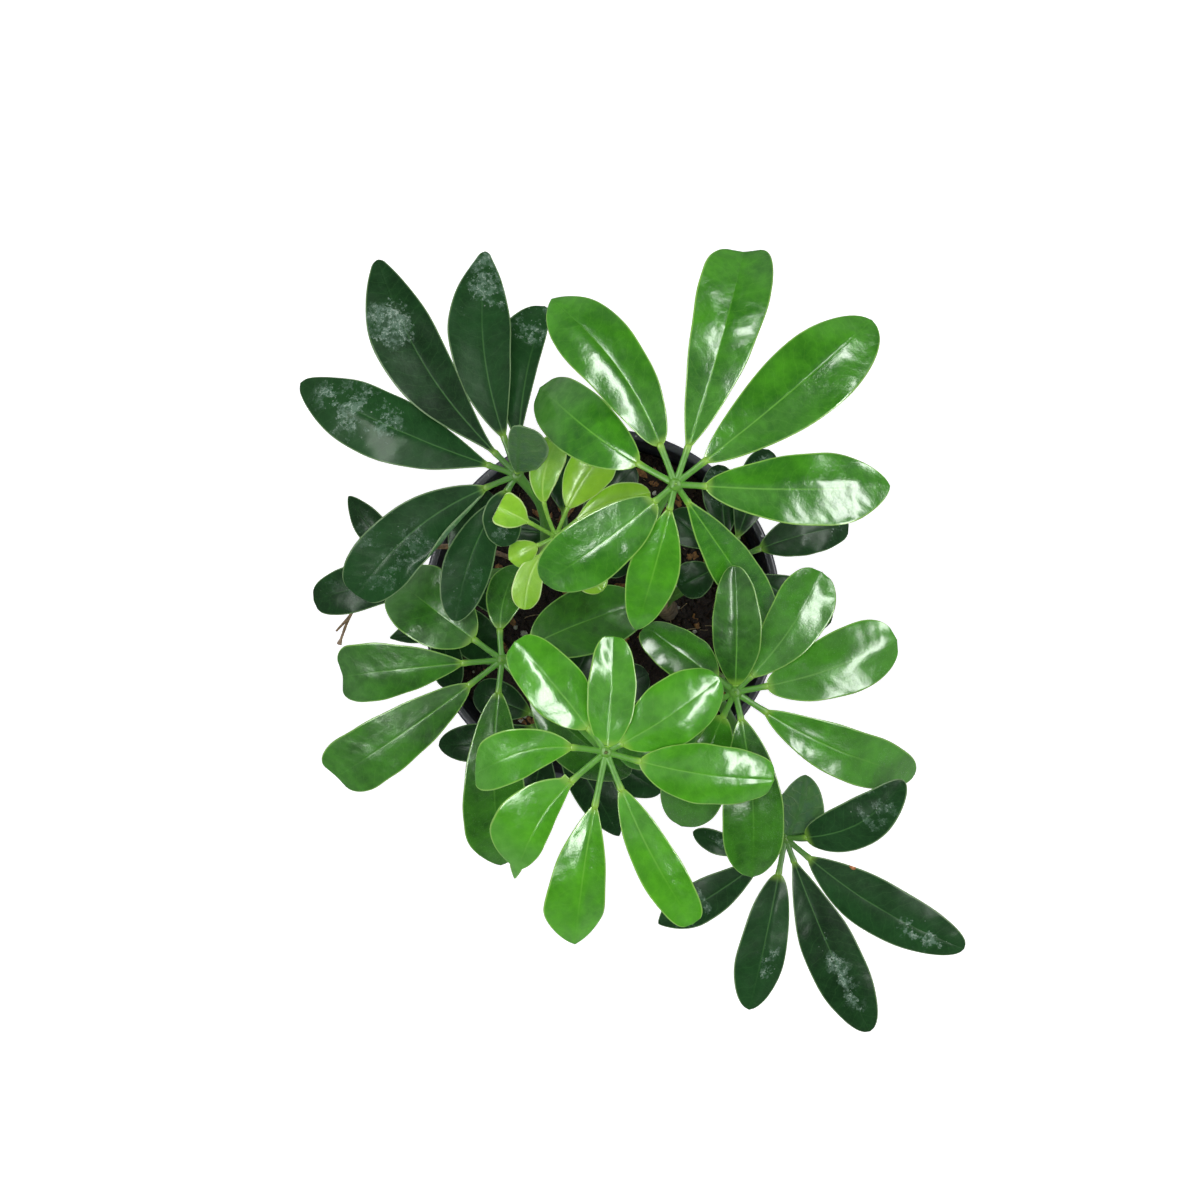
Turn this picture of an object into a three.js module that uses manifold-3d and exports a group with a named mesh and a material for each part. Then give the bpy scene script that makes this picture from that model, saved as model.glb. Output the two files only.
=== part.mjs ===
// A potted umbrella plant: a young Schefflera with four woody stems and eleven
// compound leaves, in a round nursery pot filled with potting soil.
// Millimetres, +Z up. The origin is the centre of the pot's base, on the pot's axis.

import * as THREE from 'three';
import { mergeVertices } from 'three/addons/utils/BufferGeometryUtils.js';
import Module from 'manifold-3d';

const wasm = await Module();
wasm.setup();

// Driving dimensions of the pot
const POT_HEIGHT = 110;
const RIM_RADIUS = 65;
const BASE_RADIUS = 47.5;
const WALL = 1.5;
const COLLAR_HEIGHT = 17;
const COLLAR_STEP = 2.2;
const LIP_DEPTH = 2.4;
const FLOOR = 2.0;
const FOOT_RECESS = 1.4;
const FOOT_INNER_RADIUS = 38;
const BASE_DISC_RADIUS = 20;
const DRAIN_COUNT = 6;
const DRAIN_RADIUS = 4;
const DRAIN_CIRCLE = 29;
const POT_SIDES = 44;

// Driving dimensions of the soil
const SOIL_TOP = 91;
const SOIL_RELIEF = 1.3;
const SOIL_RINGS = 6;

// Clearance kept between pieces that touch
const GAP = 0.3;

// Driving dimensions of the foliage
const BLADE_RIB_THICKNESS = 1.0;
const BLADE_EDGE_THICKNESS = 0.7;
const STALK_RADIUS = 1.1;
const TIP_HALF_WIDTH = 0.7;
const HUB_RADIUS = 3.0;
const PETIOLE_TOP_RADIUS = 1.5;
const PETIOLE_BASE_RADIUS = 2.2;
const STEM_SIDES = 8;
const PETIOLE_SIDES = 6;

// Places along a leaflet's blade, from its base to its tip, where a section is taken
const BLADE_STATIONS = [0, 0.08, 0.22, 0.4, 0.58, 0.76, 0.91, 1];
const STALK_STATIONS = [0, 0.5];

const COLOURS = {
  pot: { color: 0x1c1f26, roughness: 0.55 },
  soil: { color: 0x1e1712, roughness: 0.95 },
  bark: { color: 0x7d6a4c, roughness: 0.8 },
  dry: { color: 0x8a6a4a, roughness: 0.85 },
  dark: { color: 0x23502e, roughness: 0.45 },
  mid: { color: 0x2f6f2c, roughness: 0.35 },
  bright: { color: 0x439628, roughness: 0.3 },
  lime: { color: 0x86bf30, roughness: 0.35 },
};

// Each stem is a line of points from inside the soil to its shoot tip
const STEMS = {
  stem_right: { points: [[26, -4, 60], [24.5, -1, 92], [20, 3, 130], [15, 9, 170], [13, 12, 203]], radius: 4.0 },
  stem_front: { points: [[-13, -9, 60], [-16, -12, 92], [-18, -15, 130], [-20, -17, 165], [-21, -18, 192]], radius: 3.8 },
  stem_back: { points: [[-16, 8, 60], [-17, 10, 92], [-19, 12, 130], [-20, 14, 170], [-17, 18, 206]], radius: 3.6 },
  stem_side: { points: [[31, -17, 60], [32, -19, 92], [34, -21, 130], [36, -23, 165], [38, -24, 196]], radius: 3.4 },
};

// A leaflet as seen from above: az is its compass angle from +X, reach the distance
// from the hub to its tip, stalk the distance from the hub to its blade, and width
// its greatest width. It leaves the hub at the angle rise above level and ends at
// the angle fall below level. bow is its sideways bend, to the left where positive.
// Its outline is widest at the share widest of the blade. taper is how much it narrows
// to its base, and blunt how much it narrows to its tip, where low values stay broad.
// lean is the share of width that its right half gives to its left one, and drip the
// share of its blade that is drawn out into a narrow tip.
function leaflet(az, reach, stalk, width, shape = {}) {
  const plain = {
    bow: 0,
    rise: 8,
    fall: 34,
    bend: 1.2,
    arch: 0.14,
    roll: 0,
    widest: 0.62,
    taper: 0.85,
    blunt: 0.45,
    lean: 0,
    drip: 0,
    notch: 0,
  };
  return { az, reach, stalk, width, ...plain, ...shape };
}

// Each compound leaf has its hub, the stem and height it grows from, the points that
// its petiole passes on the way up, and its leaflets round the hub
const LEAVES = {
  leaf_back_left: {
    finish: 'dark', hub: [-25.9, 40.7, 232], stem: 'stem_back', height: 178,
    via: [[-18, 24, 200], [-19.5, 33, 221]],
    leaflets: [
      leaflet(156.5, 74, 9, 21, { bow: 2, widest: 0.56, taper: 0.9, blunt: 0.7 }),
      leaflet(123, 80.5, 9, 20, { bow: 5.5, fall: 30, widest: 0.58, taper: 1.1, blunt: 0.75, lean: 0.14 }),
      leaflet(98.5, 71, 12, 19, { bow: 4.5, widest: 0.56, taper: 0.75, blunt: 0.85, lean: 0.1 }),
      leaflet(81.5, 54, 11, 13.5, { bow: 2, rise: 0, widest: 0.72, taper: 0.7, blunt: 0.4, lean: 0.55 }),
      leaflet(81, 12.5, 1, 12, {
        rise: 72, fall: -66, roll: 180, widest: 0.7, taper: 0.5, blunt: 0.3, lean: 0.5,
      }),
      leaflet(216, 62, 10, 19.5, { bow: -5, fall: 30, widest: 0.7, taper: 0.7, blunt: 0.25 }),
      leaflet(245.5, 49, 7, 15, { bow: -3.5, rise: -28, fall: 12, widest: 0.64, taper: 0.9, blunt: 0.5 }),
      leaflet(262, 21.5, 5, 11.5, { bow: -3.5, rise: -14, fall: 24, widest: 0.58, taper: 0.7, blunt: 0.35 }),
    ],
  },
  leaf_back_right: {
    finish: 'bright', hub: [20.7, 35.7, 272], stem: 'stem_right', height: 188,
    via: [[13, 21, 224], [17, 31, 254]],
    leaflets: [
      leaflet(123, 66, 11.5, 19.5, {
        bow: -4.5, fall: 40, widest: 0.68, taper: 0.5, blunt: 0.65, notch: 0.8,
      }),
      leaflet(73.5, 73.5, 11, 21.5, { bow: -1, fall: 38, widest: 0.8, taper: 0.75, blunt: 0.25, notch: 2.4 }),
      leaflet(40, 76.5, 10.5, 23.5, { bow: -1, taper: 0.7, blunt: 0.55, notch: 1.2 }),
      leaflet(0, 62.5, 8.5, 21, { bow: -1.5, fall: 30, taper: 0.6, blunt: 0.6 }),
      leaflet(307.5, 51, 6, 13.5, { rise: -33, fall: 50, widest: 0.58, taper: 0.8, blunt: 0.3 }),
      leaflet(255.5, 43, 7, 14.5, { bow: 0.5, rise: -10, fall: 50, widest: 0.48, blunt: 0.6 }),
      leaflet(216.5, 47, 7.5, 19, { bow: 1, rise: 0, fall: 44, widest: 0.64, taper: 0.45 }),
      leaflet(142, 50, 12, 19, {
        bow: 2.5, rise: -10, fall: 64, bend: 1.3, widest: 0.52, taper: 0.55, blunt: 0.25,
      }),
    ],
  },
  leaf_young: {
    finish: 'lime', hub: [-14.3, 22.2, 222], stem: 'stem_back', height: 203,
    via: [],
    leaflets: [
      leaflet(88, 30, 10.5, 10, {
        bow: 4.5, rise: 30, fall: -10, arch: -0.2, widest: 0.68, taper: 0.6, blunt: 0.35,
      }),
      leaflet(58, 33, 9.5, 14, {
        bow: 2, rise: 30, fall: 0, arch: -0.2, widest: 0.6, taper: 0.65, blunt: 0.5,
      }),
      leaflet(25, 32, 8, 10, { bow: 2.5, rise: 22, fall: 20 }),
      leaflet(311, 22, 7, 10, { rise: 10, fall: 20 }),
      leaflet(246, 24.5, 7.5, 9, { bow: -2.5, rise: 12, fall: 22, widest: 0.64, taper: 0.5, blunt: 0.4 }),
      leaflet(205.5, 16, 6.5, 8.5, { rise: 34, fall: 40, arch: 0.5, widest: 0.76, taper: 0.5, blunt: 0.25 }),
      leaflet(152.5, 20, 9.5, 10.5, {
        rise: 48, fall: -20, arch: -0.35, widest: 0.84, taper: 0.8, blunt: 0.15,
      }),
    ],
  },
  leaf_left: {
    finish: 'mid', hub: [-31.8, -16.3, 205], stem: 'stem_front', height: 150,
    via: [[-28, -16, 180]],
    leaflets: [
      leaflet(81.5, 30.5, 9.5, 12, { bow: 2.5, fall: 30, widest: 0.6, taper: 0.65, blunt: 0.6 }),
      leaflet(143.5, 42, 11, 23.5, { fall: 52, bend: 1.6, widest: 0.52, taper: 0.5, blunt: 0.3 }),
      leaflet(186, 54, 12.5, 20, { bow: -0.5, fall: 36, widest: 0.8, taper: 0.75, blunt: 0.25, notch: 2.5 }),
      leaflet(215, 67.5, 13, 20, { bow: 1, fall: 36, widest: 0.8, taper: 0.6, blunt: 0.25, notch: 1.6 }),
      leaflet(269, 67, 10, 21, { bow: -2, fall: 38, widest: 0.76, taper: 0.6, blunt: 0.6 }),
      leaflet(317.5, 55, 13, 21, { bow: -2, fall: 30, widest: 0.58, blunt: 0.6 }),
      leaflet(22, 49, 10.5, 22, { bow: 1.5, rise: 2, fall: 30, widest: 0.5, taper: 0.5 }),
    ],
  },
  leaf_front: {
    finish: 'bright', hub: [1.0, -41.3, 262], stem: 'stem_front', height: 186,
    via: [[-21.5, -19, 212], [-14, -27, 240]],
    leaflets: [
      leaflet(130, 41.5, 8.5, 17, { bow: -1, fall: 26, widest: 0.42, taper: 0.65, blunt: 0.25 }),
      leaflet(86.5, 33.5, 1.5, 14, { bow: -0.5, rise: 12, fall: 20, widest: 0.48, taper: 0.45, blunt: 0.3 }),
      leaflet(32.5, 39.5, 5, 19.5, { bow: -1, rise: 6, fall: 24, widest: 0.54, taper: 0.6, blunt: 0.4 }),
      leaflet(350, 50, 10, 17.5, { bow: -1.5, fall: 28, widest: 0.48, taper: 0.6, blunt: 0.25 }),
      leaflet(296.5, 57.5, 11.5, 13, { bow: -1.5, arch: -0.18, widest: 0.6, taper: 0.6, blunt: 0.25 }),
      leaflet(261, 59, 16, 17.5, { bow: -1, fall: 44, widest: 0.74, taper: 0.7, blunt: 0.7, lean: -0.12 }),
      leaflet(235, 47, 12.5, 17, {
        bow: -4.5, fall: 48, widest: 0.66, taper: 0.7, blunt: 0.55, lean: -0.45, drip: 0.12,
      }),
      leaflet(190, 39, 9.5, 15.5, { bow: -4.5, fall: 46, bend: 1.5, widest: 0.64, taper: 0.65, blunt: 0.3 }),
    ],
  },
  leaf_right: {
    finish: 'mid', hub: [39.5, -24.7, 245], stem: 'stem_side', height: 182,
    via: [[39.5, -24.7, 214]],
    leaflets: [
      leaflet(91.5, 37.5, 2, 14.5, { bow: -0.5, rise: 24, fall: -6, widest: 0.44, taper: 0.6 }),
      leaflet(53.5, 44.5, 6.5, 17.5, { bow: -2, fall: 26, widest: 0.68, taper: 0.7, blunt: 0.3 }),
      leaflet(17.5, 51.5, 9.5, 19.5, { bow: -2, fall: 26, widest: 0.7, taper: 0.5, blunt: 0.3 }),
      leaflet(335, 65.5, 11, 16.5, {
        bow: -3, rise: -14, fall: 58, bend: 1.6, widest: 0.56, taper: 0.65, blunt: 0.5,
      }),
      leaflet(276, 57, 8, 18.5, { bow: 2, rise: 6, widest: 0.68, taper: 0.65, blunt: 0.4 }),
      leaflet(250.5, 45, 8, 20, { bow: -1.5, rise: -12, fall: 46, widest: 0.6, taper: 0.55, blunt: 0.35 }),
      leaflet(212.5, 40, 7.5, 18, { bow: -1, rise: -10, widest: 0.56, taper: 0.6 }),
      leaflet(144, 33, 6.5, 14.5, { rise: -2, widest: 0.4, taper: 0.65, blunt: 0.3 }),
    ],
  },
  leaf_front_right: {
    finish: 'dark', hub: [58.0, -72.8, 205], stem: 'stem_side', height: 134,
    via: [[40, -32, 165], [52, -56, 192]],
    leaflets: [
      leaflet(75, 21.5, 0.5, 16, {
        bow: -1.5, rise: 30, fall: -10, roll: 180, widest: 0.38, taper: 0.45, blunt: 0.6,
      }),
      leaflet(31.5, 39.5, 5.5, 15.5, {
        bow: -5.5, rise: 44, fall: -22, widest: 0.44, taper: 0.45, blunt: 0.55,
      }),
      leaflet(328, 68.5, 9.5, 17.5, { bow: -3, fall: 24, widest: 0.48, taper: 0.7 }),
      leaflet(294, 69, 7.5, 17.5, { bow: -1.5, fall: 26, widest: 0.56, taper: 0.9 }),
      leaflet(259, 57, 11.5, 15.5, { fall: 28, taper: 0.5, blunt: 0.5 }),
      leaflet(215.5, 49, 9.5, 13.5, { bow: 1.5, fall: 32, widest: 0.66, blunt: 0.75 }),
      leaflet(177.5, 29, 8.5, 8, { bow: 3.5, roll: -20, widest: 0.64, taper: 0.9, blunt: 0.6 }),
    ],
  },
  leaf_low_left: {
    finish: 'dark', hub: [-54.3, 9.4, 168], stem: 'stem_back', height: 122,
    via: [[-36, 12, 148]],
    leaflets: [
      leaflet(138, 42.5, 8.5, 10.5, { bow: 3, widest: 0.54, taper: 1.3, blunt: 0.7 }),
      leaflet(189, 44, 7.5, 15.5, { bow: -2, taper: 0.45, blunt: 0.3 }),
      leaflet(228.5, 26, 6.5, 8.5, { bow: 6.5, widest: 0.52, taper: 1.3, blunt: 0.9 }),
      leaflet(275, 36.5, 8, 10.5, { bow: -0.5, widest: 0.7, taper: 0.65, blunt: 0.25 }),
      leaflet(306, 35, 8, 15, { bow: -2, widest: 0.5, taper: 0.8, blunt: 0.8 }),
      leaflet(344, 27, 8, 12),
      leaflet(62, 34, 8, 15),
    ],
  },
  leaf_low_right: {
    finish: 'dark', hub: [41.9, 15.4, 172], stem: 'stem_right', height: 122,
    via: [[34, 10, 150]],
    leaflets: [
      leaflet(17, 43, 11.5, 14.5, { bow: 1.5, widest: 0.54, taper: 0.6, blunt: 0.3 }),
      leaflet(69.5, 40.5, 9, 13, { taper: 0.75, blunt: 0.4 }),
      leaflet(95, 33, 8, 12.5, { rise: 2 }),
      leaflet(139, 25, 7, 12.5),
      leaflet(207, 18.5, 5, 12.5, { taper: 0.65, blunt: 0.35 }),
      leaflet(330, 40.5, 9, 15.5),
      leaflet(283, 31, 8, 13.5),
    ],
  },
  leaf_low_front: {
    finish: 'dark', hub: [-17.7, -37.4, 170], stem: 'stem_front', height: 118,
    via: [[-19, -29, 146]],
    leaflets: [
      leaflet(300.5, 46, 8, 14, { bow: 1, widest: 0.5, taper: 0.55, blunt: 0.7 }),
      leaflet(326.5, 45.5, 10, 15, { rise: -2 }),
      leaflet(24.5, 36.5, 8, 14, { taper: 0.7, blunt: 0.35 }),
      leaflet(60, 27, 7, 12),
      leaflet(159, 27, 7, 13, { taper: 0.65, blunt: 0.35 }),
      leaflet(193.5, 38.5, 6, 12.5, { bow: 2, widest: 0.64, taper: 0.8, blunt: 0.5 }),
      leaflet(258, 34, 8, 14),
    ],
  },
  leaf_low_back: {
    finish: 'dark', hub: [-11.9, 24.5, 178], stem: 'stem_back', height: 142,
    via: [[-15, 20, 162]],
    leaflets: [
      leaflet(45, 32, 7, 12.5),
      leaflet(95, 28, 7, 11),
      leaflet(176, 20, 6, 10.5, { taper: 0.65, blunt: 0.35 }),
      leaflet(330, 24, 6, 11),
      leaflet(284, 20, 6, 10),
    ],
  },
};

// A dried leaf stalk that has lost its blades and reaches out over the pot's rim
const DRY_STALK = {
  stem: 'stem_back',
  height: 106,
  points: [[-40, 20, 126], [-64, 20, 142], [-80, 9, 148], [-87, -3, 148], [-91, -12.5, 145]],
  fork: [[-87, -3, 148], [-91.5, -8, 149.5]],
  baseRadius: 1.3,
  tipRadius: 0.75,
};

// Solids

const vec = (p) => new THREE.Vector3(...p);
const radians = THREE.MathUtils.degToRad;

function solidFromTriangles(points, triangles) {
  const vertProperties = new Float32Array(points.flatMap((p) => [p.x, p.y, p.z]));
  const triVerts = new Uint32Array(triangles.flat());
  return new wasm.Manifold(new wasm.Mesh({ numProp: 3, vertProperties, triVerts }));
}

function solidFromGeometry(geometry) {
  const bare = geometry.clone();
  bare.deleteAttribute('normal');
  bare.deleteAttribute('uv');
  const merged = mergeVertices(bare, 1e-4);
  const vertProperties = new Float32Array(merged.attributes.position.array);
  const triVerts = new Uint32Array(merged.index.array);
  return new wasm.Manifold(new wasm.Mesh({ numProp: 3, vertProperties, triVerts }));
}

function geometryFromSolid(solid) {
  const mesh = solid.getMesh();
  const geometry = new THREE.BufferGeometry();
  geometry.setAttribute('position', new THREE.BufferAttribute(new Float32Array(mesh.vertProperties), 3));
  geometry.setIndex(new THREE.BufferAttribute(new Uint32Array(mesh.triVerts), 1));
  return geometry;
}

// Joins equal rings of points into one closed solid; each ring runs anticlockwise
// seen from the far end, and flipped names the sides whose diagonal is turned
function solidFromRings(rings, flipped = []) {
  const count = rings[0].length;
  const points = rings.flat();
  const triangles = [];
  for (let i = 0; i + 1 < rings.length; i += 1) {
    for (let j = 0; j < count; j += 1) {
      const k = (j + 1) % count;
      const near = i * count;
      const far = near + count;
      if (flipped.includes(j)) {
        triangles.push([near + j, near + k, far + j], [near + k, far + k, far + j]);
      } else {
        triangles.push([near + j, near + k, far + k], [near + j, far + k, far + j]);
      }
    }
  }
  const last = (rings.length - 1) * count;
  for (let j = 1; j + 1 < count; j += 1) {
    triangles.push([0, j + 1, j], [last, last + j, last + j + 1]);
  }
  return solidFromTriangles(points, triangles);
}

// A round rod along a smooth line, with its radius given from start to end
function rod(points, radiusAt, sides, steps) {
  const curve = new THREE.CatmullRomCurve3(points.map(vec), false, 'centripetal');
  const rings = [];
  for (let i = 0; i <= steps; i += 1) {
    const t = i / steps;
    const centre = curve.getPointAt(t);
    const along = curve.getTangentAt(t);
    const across = new THREE.Vector3(0, 1, 0).cross(along).normalize();
    const upward = along.clone().cross(across);
    const ring = [];
    for (let j = 0; j < sides; j += 1) {
      const angle = (j / sides) * 2 * Math.PI;
      const radius = radiusAt(t);
      ring.push(centre.clone()
        .addScaledVector(across, radius * Math.cos(angle))
        .addScaledVector(upward, radius * Math.sin(angle)));
    }
    rings.push(ring);
  }
  return solidFromRings(rings);
}

// Pot: a thin tapered shell with a wider collar, a rolled lip and drain holes
function potInnerRadius(z) {
  const slope = (RIM_RADIUS - COLLAR_STEP - BASE_RADIUS) / (POT_HEIGHT - COLLAR_HEIGHT);
  return BASE_RADIUS + slope * z - WALL;
}

function pot() {
  const shoulder = POT_HEIGHT - COLLAR_HEIGHT;
  const bodyTop = potInnerRadius(shoulder) + WALL;
  const collarInner = RIM_RADIUS - WALL - 1;
  const profile = [
    [0, 0],
    [BASE_DISC_RADIUS, 0],
    [BASE_DISC_RADIUS + 1, FOOT_RECESS],
    [FOOT_INNER_RADIUS, FOOT_RECESS],
    [FOOT_INNER_RADIUS + 1, 0],
    [BASE_RADIUS - 2, 0],
    [BASE_RADIUS, 2],
    [bodyTop, shoulder],
    [RIM_RADIUS - 0.8, shoulder + 0.6],
    [RIM_RADIUS - 0.4, POT_HEIGHT - LIP_DEPTH],
    [RIM_RADIUS, POT_HEIGHT - LIP_DEPTH + 0.6],
    [RIM_RADIUS, POT_HEIGHT - 0.7],
    [RIM_RADIUS - 0.7, POT_HEIGHT],
    [collarInner - 0.6, POT_HEIGHT],
    [collarInner - 1.2, shoulder + 1.8],
    [potInnerRadius(shoulder), shoulder - 0.8],
    [potInnerRadius(FOOT_RECESS + FLOOR), FOOT_RECESS + FLOOR],
    [0, FOOT_RECESS + FLOOR],
  ];
  const shell = new THREE.LatheGeometry(profile.map(([r, z]) => new THREE.Vector2(r, z)), POT_SIDES);
  let solid = solidFromGeometry(shell.rotateX(Math.PI / 2));
  for (let i = 0; i < DRAIN_COUNT; i += 1) {
    const angle = ((i + 0.5) / DRAIN_COUNT) * 2 * Math.PI;
    const drain = new THREE.CylinderGeometry(DRAIN_RADIUS, DRAIN_RADIUS, 3 * FLOOR, 12);
    drain.rotateX(Math.PI / 2);
    drain.translate(DRAIN_CIRCLE * Math.cos(angle), DRAIN_CIRCLE * Math.sin(angle), FOOT_RECESS + FLOOR / 2);
    solid = solid.subtract(solidFromGeometry(drain));
  }
  return solid;
}

// Stems
function stem(name, grow = 0) {
  const { points, radius } = STEMS[name];
  const bottom = points[0];
  const top = points[points.length - 1];
  const line = [
    [bottom[0], bottom[1], bottom[2] - grow],
    ...points.slice(1, -1),
    [top[0], top[1], top[2] + grow],
  ];
  const taper = (t) => {
    const wood = radius * (1 - 0.35 * t) * (1 + 0.05 * Math.cos(2 * Math.PI * 7 * t));
    const bud = t > 0.97 ? 0.45 : 1;
    return wood * bud + grow;
  };
  return rod(line, taper, STEM_SIDES, 15);
}

function stemCentre(name, z) {
  const points = STEMS[name].points.map(vec);
  const curve = new THREE.CatmullRomCurve3(points, false, 'centripetal');
  const samples = curve.getSpacedPoints(200);
  return samples.reduce((best, p) => (Math.abs(p.z - z) < Math.abs(best.z - z) ? p : best));
}

// Soil: a tapered plug with a gently lumpy top and a plain hole for each stem
function soilHeight(x, y) {
  const lumps = Math.sin(x * 0.21 + 1) * Math.cos(y * 0.24) + 0.6 * Math.sin(x * 0.5 + y * 0.37);
  const settled = 2.2 * Math.min(1, Math.hypot(x, y) / RIM_RADIUS) ** 2;
  return SOIL_TOP + SOIL_RELIEF * 0.5 * lumps - settled;
}

function soil() {
  const floor = FOOT_RECESS + FLOOR + GAP;
  const sides = POT_SIDES;
  const wallRing = (z) => Array.from({ length: sides }, (_, j) => {
    const angle = (j / sides) * 2 * Math.PI;
    const radius = potInnerRadius(z) - GAP;
    return new THREE.Vector3(radius * Math.cos(angle), radius * Math.sin(angle), z);
  });
  const rings = [wallRing(floor), wallRing(SOIL_TOP - 6)];
  for (let i = 0; i < SOIL_RINGS; i += 1) {
    const radius = (potInnerRadius(SOIL_TOP - 6) - GAP) * (1 - i / SOIL_RINGS);
    rings.push(Array.from({ length: sides }, (_, j) => {
      const angle = (j / sides) * 2 * Math.PI;
      const x = radius * Math.cos(angle);
      const y = radius * Math.sin(angle);
      return new THREE.Vector3(x, y, soilHeight(x, y));
    }));
  }
  let solid = solidFromRings(rings);
  for (const name of Object.keys(STEMS)) {
    solid = solid.subtract(stem(name, GAP));
  }
  return solid;
}

// Leaflets

// The line that a leaflet's rib follows, as distance out and height at equal steps
function ribLine({ reach, rise, fall, bend }) {
  const steps = 60;
  const out = [0];
  const height = [0];
  for (let i = 0; i < steps; i += 1) {
    const angle = radians(rise - (rise + fall) * ((i + 0.5) / steps) ** bend);
    out.push(out[i] + Math.cos(angle) / steps);
    height.push(height[i] + Math.sin(angle) / steps);
  }
  const length = reach / Math.max(...out);
  return {
    out: out.map((value) => value * length),
    height: height.map((value) => value * length),
  };
}

function sample(values, s) {
  const place = THREE.MathUtils.clamp(s, 0, 1) * (values.length - 1);
  const low = Math.min(Math.floor(place), values.length - 2);
  return THREE.MathUtils.lerp(values[low], values[low + 1], place - low);
}

function ribPoint(shape, line, hub, s) {
  const out = sample(line.out, s);
  const aside = shape.bow * Math.sin(Math.PI * Math.min(out / shape.reach, 1));
  const az = radians(shape.az);
  return new THREE.Vector3(
    hub[0] + out * Math.cos(az) - aside * Math.sin(az),
    hub[1] + out * Math.sin(az) + aside * Math.cos(az),
    hub[2] + sample(line.height, s),
  );
}

// The blade's half width, as a share of its greatest, from base to tip
function outline({ widest, taper, blunt, drip }, u) {
  const along = Math.min(u / (1 - drip), 1);
  if (along < widest) {
    return Math.sin((Math.PI / 2) * (along / widest)) ** taper;
  }
  return Math.max(Math.cos((Math.PI / 2) * ((along - widest) / (1 - widest))), 0) ** blunt;
}

// Where on the rib the blade begins, as a share of the rib's length
function bladeStartOn(line, stalk) {
  const after = line.out.findIndex((value) => value >= stalk);
  const over = (line.out[after] - stalk) / (line.out[after] - line.out[after - 1]);
  return (after - over) / (line.out.length - 1);
}

function leafletSolid(shape, hub) {
  const line = ribLine(shape);
  const bladeStart = bladeStartOn(line, shape.stalk);
  const az = radians(shape.az);
  const left = new THREE.Vector3(-Math.sin(az), Math.cos(az), 0);
  const section = (s, u) => {
    const centre = ribPoint(shape, line, hub, s);
    const ahead = ribPoint(shape, line, hub, Math.min(s + 0.01, 1));
    const behind = ribPoint(shape, line, hub, Math.max(s - 0.01, 0));
    const along = ahead.sub(behind).normalize();
    const across = left.clone().addScaledVector(along, -left.dot(along)).normalize();
    across.applyAxisAngle(along, radians(shape.roll));
    const upward = along.clone().cross(across);
    const half = Math.max((shape.width / 2) * outline(shape, u), u < 0.5 ? STALK_RADIUS : TIP_HALF_WIDTH);
    const leftHalf = half * (1 + shape.lean);
    const rightHalf = half * (1 - shape.lean);
    const drop = shape.arch * half;
    const place = (side, lift, slide = 0) => centre.clone()
      .addScaledVector(across, side)
      .addScaledVector(upward, lift)
      .addScaledVector(along, slide);
    const pull = -shape.notch * u ** 8;
    const rib = BLADE_RIB_THICKNESS / 2;
    const edge = BLADE_EDGE_THICKNESS / 2;
    return [
      place(0, rib, pull),
      place(-rightHalf, edge - drop),
      place(-rightHalf, -edge - drop),
      place(0, -rib, pull),
      place(leftHalf, -edge - drop),
      place(leftHalf, edge - drop),
    ];
  };
  const stalkRing = (s) => {
    const centre = ribPoint(shape, line, hub, s);
    const along = ribPoint(shape, line, hub, s + 0.02).sub(centre).normalize();
    const across = left.clone().addScaledVector(along, -left.dot(along)).normalize();
    across.applyAxisAngle(along, radians(shape.roll));
    const upward = along.clone().cross(across);
    const corners = [[0, 1], [-1, 0.5], [-1, -0.5], [0, -1], [1, -0.5], [1, 0.5]];
    return corners.map(([side, lift]) => centre.clone()
      .addScaledVector(across, side * STALK_RADIUS)
      .addScaledVector(upward, lift * STALK_RADIUS));
  };
  const rings = STALK_STATIONS.map((share) => stalkRing(share * bladeStart));
  for (const u of BLADE_STATIONS) {
    rings.push(section(bladeStart + (1 - bladeStart) * u, u));
  }
  // Sides 2 and 5 get their diagonal turned, which makes both faces split alike
  return solidFromRings(rings, [2, 5]);
}

function leaf({ hub, stem: stemName, height, via, leaflets }) {
  const foot = stemCentre(stemName, height);
  const route = [foot.toArray(), ...via, hub];
  const taper = (t) => THREE.MathUtils.lerp(PETIOLE_BASE_RADIUS, PETIOLE_TOP_RADIUS, t);
  const knob = new THREE.IcosahedronGeometry(HUB_RADIUS, 0).translate(...hub);
  const pieces = [
    rod(route, taper, PETIOLE_SIDES, 9),
    solidFromGeometry(knob),
    ...leaflets.map((shape) => leafletSolid(shape, hub)),
  ];
  const whole = pieces.reduce((sum, piece) => sum.add(piece));
  return whole.subtract(stem(stemName, GAP));
}

function dryStalk() {
  const { stem: stemName, height, points, fork, baseRadius, tipRadius } = DRY_STALK;
  const foot = stemCentre(stemName, height);
  const main = rod([foot.toArray(), ...points], (t) => THREE.MathUtils.lerp(baseRadius, tipRadius, t), 6, 14);
  const side = rod(fork, () => tipRadius * 0.8, 5, 2);
  return main.add(side).subtract(stem(stemName, GAP));
}

// Assembly
const plant = new THREE.Group();

function place(name, solid, finish) {
  const material = new THREE.MeshStandardMaterial({ ...COLOURS[finish], metalness: 0 });
  const mesh = new THREE.Mesh(geometryFromSolid(solid), material);
  mesh.name = name;
  plant.add(mesh);
}

place('pot', pot(), 'pot');
place('soil', soil(), 'soil');
for (const name of Object.keys(STEMS)) {
  place(name, stem(name), 'bark');
}
for (const [name, shape] of Object.entries(LEAVES)) {
  place(name, leaf(shape), shape.finish);
}
place('dry_stalk', dryStalk(), 'dry');

export default plant;
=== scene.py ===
# Potted umbrella plant: fine leaves, stems, soil and pot in the places of the CAD solids.
# Tables and shapes are in millimetres, +Z up, in the CAD model's frame. Meshes are in metres.

import math

import bpy
import numpy as np
from mathutils import Matrix, Vector


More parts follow.
